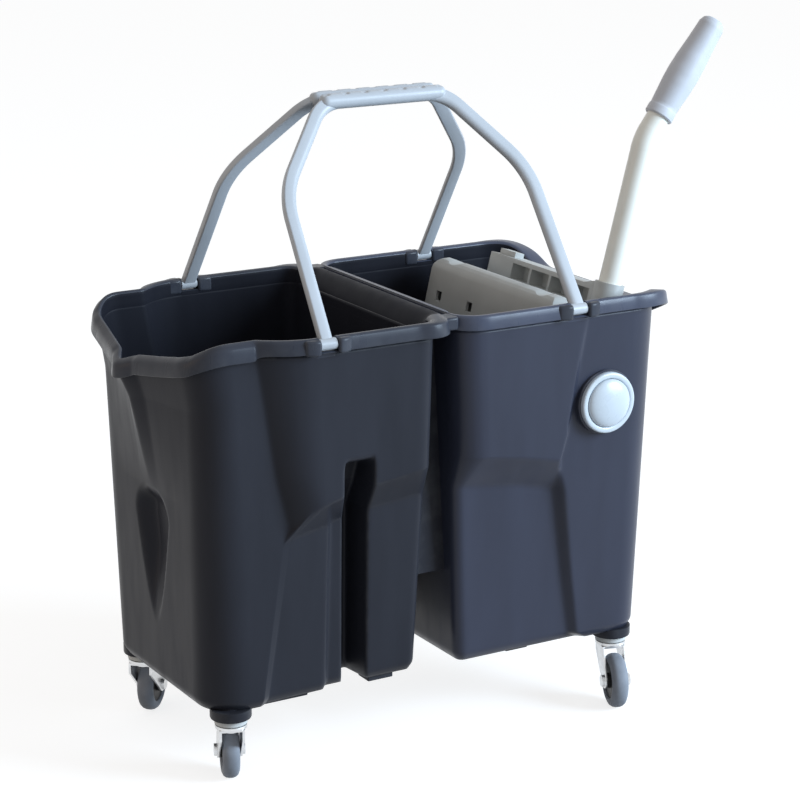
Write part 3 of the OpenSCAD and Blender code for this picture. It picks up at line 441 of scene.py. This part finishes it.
def moulded(name, outline, lo, hi, axis=2, soft=1.2, mat=BUCKET):
    """A part of the moulding: an outline in two axes, drawn out from lo to hi along the third."""
    def at(p, h):
        q = list(p)
        q.insert(axis, h)
        return tuple(q)
    n = len(outline)
    area2 = sum(p[0] * q[1] - q[0] * p[1] for p, q in zip(outline, outline[1:] + outline[:1]))
    ring = outline if (area2 > 0) == (axis != 1) else outline[::-1]
    pts = [at(p, lo) for p in ring] + [at(p, hi) for p in ring]
    faces = [tuple(range(n))[::-1], tuple(range(n, 2 * n))]
    faces += [(i, (i + 1) % n, n + (i + 1) % n, n + i) for i in range(n)]
    return soften(piece(name, pts, faces, mat, "base", "bucket_plastic"), soft)


# Walls of the buckets, as half rings of points at each level
def level(k, x):
    """Height of level k at x, with the ledge arched from end to end."""
    hi = LEDGE_Z - ARCH * min(abs(x), ARCH_REACH) ** 2
    lo = hi - LEDGE_H
    return [BASE_Z, BASE_Z + 8, mix(BASE_Z, lo, 0.5), lo, hi, GROOVE_TOP - 10, GROOVE_TOP,
            mix(GROOVE_TOP, WALL_TOP, 0.55), WALL_TOP][k]


def inset(k):
    """How far the wall is drawn in, at the base alone."""
    return BASE_INSET if k == 0 else 0.0


def gap_left(z):
    return mix(GAP_LEFT_BASE, GAP_LEFT_TOP, share(z))


def gap_right(z):
    return mix(GAP_RIGHT_BASE, GAP_RIGHT_TOP, share(z))


def post_y(z):
    """Half width at the posts of the left end."""
    return mix(HALF_BASE, POST_TOP, share(z))


def end_y(z):
    """Half width at the right end."""
    return mix(END_HALF_BASE, END_HALF_TOP, share(z))


def panel_y(k, z, foot, back):
    """Half width at the panels, which step back below the ledge."""
    if k >= LEDGE_HIGH:
        return mix(PANEL_BASE, HALF_TOP, share(z))
    return mix(foot, HALF_TOP - LOW_STEP - back, clamp((z - BASE_Z) / (LEDGE_Z - LEDGE_H - BASE_Z)))


def arc(cx, cy, r, a0, a1, n):
    """Points from angle a0 to a1, in degrees."""
    turns = [math.radians(mix(a0, a1, i / n)) for i in range(n + 1)]
    return [(cx + r * math.cos(a), cy + r * math.sin(a)) for a in turns]


def corner(cx, cy, r, a0, n, z):
    """A quarter turn at height z."""
    return [(x, y, z) for x, y in arc(cx, cy, r, a0, a0 + 90, n)]


def groove_x(k):
    """Left and right side of the groove, which leans below the ledge."""
    if k >= LEDGE_HIGH:
        return GROOVE_HIGH_X
    return [mix(a, b, k / LEDGE_LOW) for a, b in zip(GROOVE_BASE_X, GROOVE_LOW_X)]


def wash_half(k):
    """Front half of the wash bucket's ring at level k, from the left end to the gap."""
    up, n = k >= LEDGE_HIGH, inset(k)
    z = level(k, ARCH_REACH)
    left = mix(LEFT_BASE, LEFT_TOP, share(z)) + FLARE * ease((z - FLARE_Z) / FLARE_H)
    r = mix(LEFT_R_BASE, LEFT_R_TOP, share(z))
    out = [(-left + n, -y, z) for y in (0, 30, 60)]
    out += corner(-left + r, -post_y(z) + r, r - n, 180, 9, z)
    for i in range(9):
        t = i / 8
        x = POST_X[k] + POST_WIDE[k] * t
        z = level(k, x) + TIP_RISE.get(k, 0) * ease((TIP_X - x) / TIP_LONG)
        swell = 1 - (1 - t) ** 2.2 if up else clamp((t - 0.1) / 0.8)
        y = mix(post_y(z), panel_y(k, z, POST_FOOT, POST_BACK), swell)
        out.append((x, n - y, z))
    edge, dip, deep = PANEL_EDGE[up], PANEL_DIP[up], GROOVE_DEEP * GROOVE_SHARE[k]
    step = edge + PANEL_STEP[up]
    g0, g1 = groove_x(k)
    for x, foot, back in ((edge, WASH_FOOT + 5, 0), (step, WASH_FOOT, dip), (g0, WASH_FOOT, dip),
                          (g0 + 5, WASH_FOOT, deep), (g1 - 4, WASH_FOOT, deep), (g1, WASH_FOOT, 0)):
        z = level(k, x)
        out.append((x, -panel_y(k, z, foot, WASH_BACK) + back + n, z))
    z = level(k, -30)
    r = WASH_CORNER_R[up]
    right = gap_left(z) + WASH_CORNER_OUT[up]
    out += corner(right - r, -panel_y(k, z, WASH_FOOT, WASH_BACK) + r, r - n, 270, 6, z)
    return out + [(right - n, -y, z) for y in (60, 0)]


def press_half(k):
    """Front half of the press bucket's ring at level k, from the gap to the right end."""
    up, n = k >= LEDGE_HIGH, inset(k)
    z = level(k, 20)
    left = gap_right(z)
    r = PRESS_CORNER_R[up]
    out = [(left + n, -y, z) for y in (0, 60)]
    out += corner(left + r, -panel_y(k, z, PRESS_FOOT, PRESS_BACK) + r, r - n, 180, 6, z)
    edge = PRESS_X[k]
    for x in (mix(40, edge, 0.5), edge):
        z = level(k, x)
        out.append((x, n - panel_y(k, z, PRESS_FOOT, PRESS_BACK), z))
    x = edge + PRESS_STEP[up]
    z = level(k, x)
    out.append((x, n - end_y(z), z))
    z = level(k, ARCH_REACH)
    right = mix(RIGHT_BASE, RIGHT_TOP, share(z))
    r = mix(RIGHT_R_BASE, RIGHT_R_TOP, share(z))
    out += corner(right - r, -end_y(z) + r, r - n, 270, 9, z)
    return out + [(right - n, -y, z) for y in (55, 0)]


def refine(half):
    """Half rings at the levels to an even lattice of full rings."""
    base = np.array([half(k) for k in range(LEVELS)])
    gaps = np.linalg.norm(np.diff(base, axis=1), axis=2).max(axis=0)
    cols = [base[:, 0]]
    for i, g in enumerate(gaps):
        m = max(1, int(round(g / LATTICE)))
        cols += [mix(base[:, i], base[:, i + 1], t / m) for t in range(1, m + 1)]
    lat = np.stack(cols, axis=1)
    rows = [lat[0]]
    for k, g in enumerate(np.abs(np.diff(lat[:, :, 2], axis=0)).max(axis=1)):
        m = max(1, int(round(g / LATTICE)))
        rows += [mix(lat[k], lat[k + 1], t / m) for t in range(1, m + 1)]
    lat = np.stack(rows, axis=0)
    back = lat[:, -2:0:-1] * np.array([1, -1, 1])
    return np.concatenate([lat, back], axis=1)


def smooth_loop(a, passes, axis=0):
    """Evens values out along a closed loop."""
    for _ in range(passes):
        a = (np.roll(a, 1, axis) + np.roll(a, -1, axis) + 2 * a) / 4
    return a


def smooth_up(a):
    """Evens rows out, apart from the first and the last."""
    b = a.copy()
    b[1:-1] = (a[:-2] + a[2:] + 2 * a[1:-1]) / 4
    return b


def keel(y, z):
    """How far the left end stands out: a wide point in plan that grows towards the lip, with a small nose."""
    y = abs(y)
    point = KEEL_OUT * max(0.0, 1 - y / KEEL_HALF) ** 1.27
    point += NOSE_OUT * max(0.0, 1 - (y / NOSE_HALF) ** 1.35)
    return point * clamp((z - KEEL_Z) / KEEL_H, 0, 1.08)


def recess(y, z):
    """Depth of the hand recess in the left end."""
    if not RECESS_LOW < z < RECESS_TOP:
        return 0.0
    if z < RECESS_WIDEST:
        half = RECESS_HALF * ((z - RECESS_LOW) / (RECESS_WIDEST - RECESS_LOW)) ** 0.7
    else:
        half = RECESS_HALF * math.sqrt(1 - ((z - RECESS_WIDEST) / (RECESS_TOP - RECESS_WIDEST)) ** 2)
    if half < 1:
        return 0.0
    side = ease(2 * clamp(1 - abs(y) / half))
    return RECESS_DEEP * side * ease((z - RECESS_LOW) / 90) * ease((RECESS_TOP - z) / 26)


def pour(x, y):
    """Height of the edge against the straight rim."""
    y = abs(y)
    if x > RIGHT_DIP_X:
        return -RIGHT_DIP * ease((RIGHT_DIP_Y - y) / RIGHT_DIP_LONG)
    return float(np.interp(y, LIP_Y, LIP_DOWN)) if x < END_X else 0.0


def shell(half):
    """Lattice of a bucket's outer face, with the edge's dips, the keel and the hand recess."""
    lat = smooth_up(smooth_loop(refine(half), 1, 1))
    rows, cols, _ = lat.shape
    for i in range(cols):
        x, y = lat[-1, i, 0], lat[-1, i, 1]
        dip = pour(x, y)
        for r in range(rows):
            z = lat[r, i, 2]
            if z > DIP_Z:
                z += dip * clamp((z - DIP_Z) / (WALL_TOP - DIP_Z)) ** 1.3
                lat[r, i, 2] = z
            if x < END_X and abs(y) < KEEL_HALF:
                lat[r, i, 0] += recess(y, z) - keel(y, z)
    return lat


# Rolled edge of the buckets
def rim_section(out, roll, fall):
    """Section of the edge, from inside the wall over the top to the skirt and back to the wall.

    Each point holds the way out, the height, and the height in a slot for a bail's foot. The skirt reaches to
    out, roll turns the lip into the wide roll on the divider, and fall lets the skirt hang lower.
    """
    inner = -WALL - 0.12
    crest = out - 5
    lip = [(inner + 1.8, -RIM_IN), (inner + 1.2, -5), (inner, -0.6), (inner + 0.04, 5), (inner + 0.09, 11),
           (-4, 14.2), (-3.2, 15.7), (-1.8, 16.7), (0, RIM_H - 0.6 * fall)]
    turns = [math.radians(a) for a in (0, 9, 19, 30, 42, 54, 66, 78, 90)]
    wide = [(crest - (crest - inner) * math.cos(a), -RIM_IN + (RIM_H + RIM_IN) * math.sin(a)) for a in turns]
    seat = (-RIM_IN, -5, -1.2, 0, 2, 2.9, 3.3, 3.5, 3.5)
    over = [(mix(p[0], q[0], roll), mix(p[1], q[1], roll), h) for p, q, h in zip(lip, wide, seat)]
    skirt = [(crest + 0.01, RIM_H - 3 * fall, 3.5), (out - 3.4, 16.5 - 3.7 * fall, 3.4),
             (out - 2.4, 15.3 - 4.2 * fall, 3.2), (out - 1.9, 13.6 - 4.4 * fall, 2.8),
             (out, 3 - 5 * fall, 2.2), (out - 0.4, 2.2 - 5 * fall, 1.6),
             (out - 1.3, 2 - 5 * fall, 1.2), (out - 2.2, 2.3 - 5 * fall, 1),
             (out - 2.8, 3.2 - 5 * fall, 0.8), (out - 4.2, 10.5 - 4 * fall, 0.6)]
    return over + skirt + [(min(0.6, out - 4.6), mix(12 - 4 * fall, 0, roll), 0.4), (-0.6, -8, -8)]


def rim_stations(line):
    """Points of the edge's line, with two more at each side of a slot, and whether each lies in one."""
    stations, n = [], len(line)
    for i in range(n):
        p, q = line[i], line[(i + 1) % n]
        p_away, q_away = abs(abs(p[0]) - CLIP_X), abs(abs(q[0]) - CLIP_X)
        side = abs(p[1]) > RIM_SIDE_Y and abs(q[1]) > RIM_SIDE_Y
        cut = side and p_away < SLOT
        stations.append((p, cut))
        if side and (p_away < SLOT) != (q_away < SLOT):
            at = mix(p, q, (SLOT - p_away) / (q_away - p_away))
            stations += [(at, cut), (at, not cut)]
    return stations


def rim_ring(top, low, forms):
    """The edge swept round the top of a wall, and 1 for each face that takes the painted shade material: the
    inner side and the wide roll.
    """
    xy = top[:, :2]
    tan = smooth_loop(np.roll(xy, -1, 0) - np.roll(xy, 1, 0), 2)
    tan /= np.linalg.norm(tan, axis=1)[:, None]
    nor = np.stack([tan[:, 1], -tan[:, 0]], axis=1)
    lean = ((top - low)[:, :2] * nor).sum(axis=1) / (top - low)[:, 2]
    stations = rim_stations(np.concatenate([top, nor, lean[:, None], forms], axis=1))
    pts, painted_shade_faces = [], []
    for (x, y, z, nx, ny, slant, out, roll, fall), cut in stations:
        sec = rim_section(out, roll, fall)
        for off, up, seat in sec:
            h = seat if cut else up
            off += slant * min(0, h)
            pts.append((x + nx * off, y + ny * off, z + h))
        # Inner faces and the wide roll get painted shade
        painted_shade_faces += [int(i < INNER_FACES or roll > 0.5) for i in range(len(sec))]
    return pts, grid_faces(len(stations), len(sec), True), painted_shade_faces


def wash_edge(x, y):
    """Reach of the skirt, roll and fall on the wash bucket."""
    if x < LIP_X:
        return LIP_SKIRT, 0.0, 1.0
    if abs(x) < DIVIDER_X and abs(y) < DIVIDER_Y:
        return ROLL_REACH, 1.0, 0.0
    return mix(SKIRT, WASH_SKIRT, clamp((x - WASH_SKIRT_X) / WASH_SKIRT_LONG)), 0.0, 0.0


def press_edge(x, y):
    """Reach of the skirt, roll and fall on the press bucket."""
    if abs(x) < DIVIDER_X and abs(y) < DIVIDER_Y:
        return DIVIDER_SKIRT, 0.0, 0.0
    return mix(SKIRT, RIGHT_SKIRT, clamp((x - RIGHT_TOP + RIGHT_R_TOP) / RIGHT_R_TOP)), 0.0, 0.0


def bucket(name, half, edge, wall_mat, rim_mat):
    """A bucket's wall and its rolled edge, in place of the solid."""
    lat = shell(half)
    rows, cols, _ = lat.shape
    faces = grid_faces(rows, cols) + [tuple(range(cols))[::-1]]
    wall = piece(name, lat.reshape(-1, 3), faces, wall_mat, "base", "bucket_plastic", None)
    # The inner skin takes the darker copy of the plastic: painted shade
    wall.data.materials.append(INSIDE_SHADE)
    s = wall.modifiers.new("wall", "SOLIDIFY")
    s.thickness = WALL * MM
    s.offset = -1
    s.material_offset = 1
    top = lat[-1]
    forms = smooth_loop(np.array([edge(x, y) for x, y, _ in top]), 8)
    pts, faces, painted_shade_faces = rim_ring(top, lat[-1 - LEAN_ROWS], forms)
    rim = piece(name + "_rim", pts, faces, rim_mat, "base", "bucket_plastic", 50)
    # The inner faces and the divider roll take the same painted shade
    rim.data.materials.append(INSIDE_SHADE)
    rim.data.polygons.foreach_set("material_index", painted_shade_faces)
    return wall


# Both edges take paler copies of the plastic, and the press bucket's wall a lighter, bluer one: painted sheen
wash = bucket("wash_bucket", wash_half, wash_edge, BUCKET, RIM_SHEEN)
press = bucket("press_bucket", press_half, press_edge, PRESS_SHEEN, PRESS_RIM_SHEEN)
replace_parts(wash, "bucket_body")
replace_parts(press, "bucket_body")


def rect(a, b, c, d):
    return [(a, b), (c, b), (c, d), (a, d)]


# Small mouldings at the front and the back
# Rim blocks and bridges take the rim's paler copy of the plastic, which is painted sheen
for s, tag in ((-1, "front"), (1, "rear")):
    for sx, end in ((-1, "left"), (1, "right")):
        for side, mark in ((-1, "a"), (1, "b")):
            x0 = sx * CLIP_X + side * SLOT
            outline = [(x0 + side * x, s * y) for x, y in BLOCK]
            moulded("rim_block_%s_%s_%s" % (tag, end, mark), outline, *BLOCK_Z, soft=2.6, mat=RIM_SHEEN)
        place = Matrix.Translation((sx * CASTOR_X, s * CASTOR_Y, 0))
        spun("castor_cup_%s_%s" % (tag, end), CUP, place, BUCKET, "base", "bucket_plastic")
    moulded("bridge_" + tag, [(x, s * y) for x, y in BRIDGE], *BRIDGE_Z, soft=2.4, mat=RIM_SHEEN)
    web = [(gap_left(z) - WALL / 2, z) for z in WEB_Z]
    web += [(gap_right(z) + WALL / 2, z) for z in WEB_Z[::-1]]
    moulded("web_" + tag, web, s * WEB_Y - WEB_HALF_T, s * WEB_Y + WEB_HALF_T, 1, 0.8)
    for i, (x, half) in enumerate(PADS):
        moulded("pad_%s_%d" % (tag, i), rect(x - half, s * PAD_Y[0], x + half, s * PAD_Y[1]), *PAD_Z)
    bracket = rect(BRACKET_X[0], s * BRACKET_Y[0], BRACKET_X[1], s * BRACKET_Y[1])
    moulded("jaw_bracket_" + tag, bracket, *BRACKET_Z)
    stop = rect(STOP_X[0], s * STOP_Y[0], STOP_X[1], s * STOP_Y[1])
    moulded("jaw_stop_" + tag, stop, *STOP_Z)

# Pivots: a boss in the wall, a rounded ring and a domed pin
dome = [math.radians(a) for a in range(0, 91, 6)]
pin = PIN + [(DOME_R * math.cos(a), DOME_FOOT + DOME_H * math.sin(a)) for a in dome]
for s, tag in ((-1, "front"), (1, "rear")):
    outwards = Matrix.Rotation(math.radians(-90 * s), 4, "X")
    place = Matrix.Translation((PIVOT_X, s * PIVOT_Y, PIVOT_Z)) @ outwards
    # The boss takes the press bucket's lighter, bluer copy of the plastic: painted sheen
    spun("boss_" + tag, BOSS, place, PRESS_SHEEN, "base", "bucket_plastic", 72, True)
    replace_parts(spun("ring_" + tag, RING, place, TRIM, "base", "trim_plastic", 72, True), "pivot_bush_" + tag)
    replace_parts(spun("dome_" + tag, pin, place, TRIM, "press_lever", "trim_plastic", 72), "pivot_pin_" + tag)


# Bails: a strip bent into two legs, a notched grip and a barrel at each foot, drawn flat and then tilted
def round_corner(a, b, c, r, n):
    """Points of the bend of radius r that rounds the corner b between a and c."""
    a, b, c = Vector(a), Vector(b), Vector(c)
    u, v = (a - b).normalized(), (c - b).normalized()
    half = math.acos(u.dot(v)) / 2
    m = b + (u + v).normalized() * (r / math.sin(half))
    s = b + u * (r / math.tan(half)) - m
    turn = math.copysign(math.pi - 2 * half, u.x * v.y - u.y * v.x)
    return [m + Matrix.Rotation(-turn * i / n, 2) @ s for i in range(n + 1)]


def bail_path():
    """Middle line of the strip from the right foot to the left."""
    foot, shoulder = (CLIP_X, 0), (CLIP_X - SHOULDER_IN, SHOULDER_Z)
    grip, middle = (GRIP_X, BAIL_REACH), (0, BAIL_REACH)
    line = [Vector(foot)]
    line += round_corner(foot, shoulder, grip, SHOULDER_R, 20)
    line += round_corner(shoulder, grip, middle, GRIP_BEND_R, 14)
    line.append(Vector(middle))
    full = []
    for p, q in zip(line, line[1:]):
        m = max(1, int((q - p).length / 6))
        full += [p.lerp(q, t / m) for t in range(m)]
    return full + [line[-1]] + [Vector((-p.x, p.y)) for p in full[::-1]]


def strip_section():
    """Section of the strip, across and towards the front: a flat outer face that rolls over on the inside."""
    a, b, r = STRIP_HALF, STRIP_T, STRIP_R
    wide, deep = STRIP_ROLL
    turns = [t * math.pi / 16 for t in range(9)]
    out = arc(a - r, -b + r, r, -90, 0, 4)
    out += [(a - wide + wide * math.cos(t), b - deep + deep * math.sin(t)) for t in turns]
    out += arc(-a + r, b - r, r, 90, 180, 4)
    return out + arc(-a + r, -b + r, r, 180, 270, 4)


def strip_mesh():
    path, sec = bail_path(), strip_section()
    pts = []
    for i, p in enumerate(path):
        t = (path[min(i + 1, len(path) - 1)] - path[max(i - 1, 0)]).normalized()
        pts += [Vector((p.x - d * t.y, p.y + d * t.x, w)) for d, w in sec]
    return sleeve(pts, len(path), len(sec))


def grip_mesh():
    """A round bar with rounded ends and shallow notches on its upper outer side."""
    pts, rows, around = [], 121, 40
    for r in range(rows):
        x = mix(-GRIP_HALF, GRIP_HALF, r / (rows - 1))
        size = GRIP_R * math.sqrt(1 - clamp((abs(x) - 67) / 7.2) ** 2) + 0.2
        near = abs((x + NOTCH_STEP / 2) % NOTCH_STEP - NOTCH_STEP / 2)
        for i in range(around):
            a = 2 * math.pi * i / around
            off = abs((a - math.pi / 4 + math.pi) % (2 * math.pi) - math.pi)
            cut = NOTCH_DEEP * max(0.0, 1 - (near / NOTCH_HALF) ** 2) * max(0.0, 1 - (off / NOTCH_ANGLE) ** 2)
            pts.append(Vector((x, BAIL_REACH + (size - cut) * math.cos(a), (size - cut) * math.sin(a))))
    return sleeve(pts, rows, around)


def foot_mesh(x):
    """A barrel with a pin at each end, along the hinge."""
    half = [(6, 8.8), (5.5, 9.3), (3, 9.3), (3, 14.9), (2.6, 15.3), (0, 15.3)]
    profile = [(r, -h) for r, h in half[::-1]] + half
    return lathe(profile, Matrix.Translation((x, 0, 0)) @ Matrix.Rotation(math.radians(90), 4, "Y"), 32)


pts, faces = join(strip_mesh(), grip_mesh(), foot_mesh(-CLIP_X), foot_mesh(CLIP_X))
tilt = Matrix.Translation((0, -CLIP_Y, CLIP_Z)) @ Matrix.Rotation(math.radians(90 - BAIL_LEAN), 4, "X")
for tag, turn in (("front", 0), ("rear", 180)):
    place = Matrix.Rotation(math.radians(turn), 4, "Z") @ tilt
    bail = piece("bail_" + tag, [place @ p for p in pts], faces, BAIL, tag + "_bail", "bail_plastic")
    weld(bail)
    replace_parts(bail, tag + "_bail")


# Pieces that keep their solid form
def by_angle(limit):
    """Modifier group that shades faces smooth up to an angle, so that a node's mesh stays as it is."""
    g = bpy.data.node_groups.new("shade_by_angle", "GeometryNodeTree")
    g.interface.new_socket("Geometry", in_out="INPUT", socket_type="NodeSocketGeometry")
    g.interface.new_socket("Geometry", in_out="OUTPUT", socket_type="NodeSocketGeometry")
    a, z = g.nodes.new("NodeGroupInput"), g.nodes.new("NodeGroupOutput")
    angle = g.nodes.new("GeometryNodeInputMeshEdgeAngle")
    above = g.nodes.new("FunctionNodeCompare")
    above.inputs["B"].default_value = math.radians(limit)
    g.links.new(angle.outputs["Unsigned Angle"], above.inputs["A"])
    smooth, sharp = g.nodes.new("GeometryNodeSetShadeSmooth"), g.nodes.new("GeometryNodeSetShadeSmooth")
    sharp.domain = "EDGE"
    sharp.inputs["Shade Smooth"].default_value = False
    g.links.new(a.outputs[0], smooth.inputs["Geometry"])
    g.links.new(smooth.outputs["Geometry"], sharp.inputs["Geometry"])
    g.links.new(above.outputs["Result"], sharp.inputs["Selection"])
    g.links.new(sharp.outputs["Geometry"], z.inputs[0])
    return g


SHADE = by_angle(NODE_ANGLE)
FINISH = {"fixed_jaw": JAW, "swing_jaw": JAW, "lever_tube": TUBE, "lever_grip": GRIP}
KIND = {"stem": ZINC, "race": RACE, "fork": ZINC, "axle": ZINC, "wheel": HUB, "tyre": TYRE}
EDGE = {"fixed_jaw": 1.2, "swing_jaw": 1.0, "fork": 0.5}
for name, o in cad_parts.items():
    kind = name.split("_")[0]
    mat = FINISH.get(name) or KIND.get(kind)
    if not mat:
        continue
    o.data.materials.clear()
    o.data.materials.append(mat)
    weld(o)
    width = EDGE.get(name) or EDGE.get(kind)
    if width:
        soften(o, width, 2)
    o.modifiers.new("shade", "NODES").node_group = SHADE


# Room: a pale floor, a soft sky and soft lights
def shown(t):
    """1 for the rays that show the background, straight, by reflection or through a clear piece."""
    path = t.nodes.new("ShaderNodeLightPath")
    value = path.outputs["Is Camera Ray"]
    for key in ("Is Glossy Ray", "Is Transmission Ray"):
        m = t.nodes.new("ShaderNodeMath")
        m.operation = "MAXIMUM"
        t.links.new(value, m.inputs[0])
        t.links.new(path.outputs[key], m.inputs[1])
        value = m.outputs["Value"]
    return value


world = bpy.data.worlds.new("studio")
world.use_nodes = True
bpy.context.scene.world = world
t = world.node_tree
sky = t.nodes["Background"]
sky.inputs["Color"].default_value = (1, 1, 1, 1)
t.links.new(spread(t, shown(t), 0, 1, SKY_LIGHT, SKY_SHOWN), sky.inputs["Strength"])

floor_mat, t, base = shader("floor_white")
base.inputs["Base Color"].default_value = (FLOOR_GREY, FLOOR_GREY, FLOOR_GREY, 1)
base.inputs["Roughness"].default_value = 0.9
base.inputs["Specular IOR Level"].default_value = 0.0
pale = t.nodes.new("ShaderNodeBsdfDiffuse")
pale.inputs["Color"].default_value = (FLOOR_SHOWN, FLOOR_SHOWN, FLOOR_SHOWN, 1)
glow = t.nodes.new("ShaderNodeEmission")
glow.inputs["Strength"].default_value = FLOOR_GLOW
both = t.nodes.new("ShaderNodeAddShader")
t.links.new(pale.outputs["BSDF"], both.inputs[0])
t.links.new(glow.outputs["Emission"], both.inputs[1])
pick = t.nodes.new("ShaderNodeMixShader")
t.links.new(shown(t), pick.inputs["Fac"])
t.links.new(base.outputs["BSDF"], pick.inputs[1])
t.links.new(both.outputs["Shader"], pick.inputs[2])
t.links.new(pick.outputs["Shader"], t.nodes["Material Output"].inputs["Surface"])
me = bpy.data.meshes.new("floor")
corners = [(x * FLOOR_HALF, y * FLOOR_HALF, 0) for x, y in ((-1, -1), (1, -1), (1, 1), (-1, 1))]
me.from_pydata(corners, [], [(0, 1, 2, 3)])
me.materials.append(floor_mat)
floor = bpy.data.objects.new("floor", me)
bpy.context.scene.collection.objects.link(floor)


def area(name, pos, size, power, col):
    """A soft square lamp that looks at the middle of the buckets."""
    d = bpy.data.lights.new(name, "AREA")
    d.energy = power
    d.size = size
    d.color = col
    o = bpy.data.objects.new(name, d)
    o.location = pos
    o.rotation_euler = (Vector(LIGHT_AT) - Vector(pos)).to_track_quat("-Z", "Y").to_euler()
    bpy.context.scene.collection.objects.link(o)


area("key", (2.5, -2.5, 1.5), 1.8, 208, (0.67, 0.835, 1.0))
area("fill", (-2.6, 0.3, 1.0), 1.6, 6, (1.0, 0.66, 0.36))

cam = bpy.data.cameras.new("camera")
cam.lens = LENS
cam.sensor_width = SENSOR
eye = bpy.data.objects.new("camera", cam)
eye.location = CAMERA_POS
eye.rotation_euler = (math.radians(CAMERA_PITCH), 0, math.radians(CAMERA_TURN))
bpy.context.scene.collection.objects.link(eye)
bpy.context.scene.camera = eye
bpy.context.scene.view_settings.view_transform = "Standard"
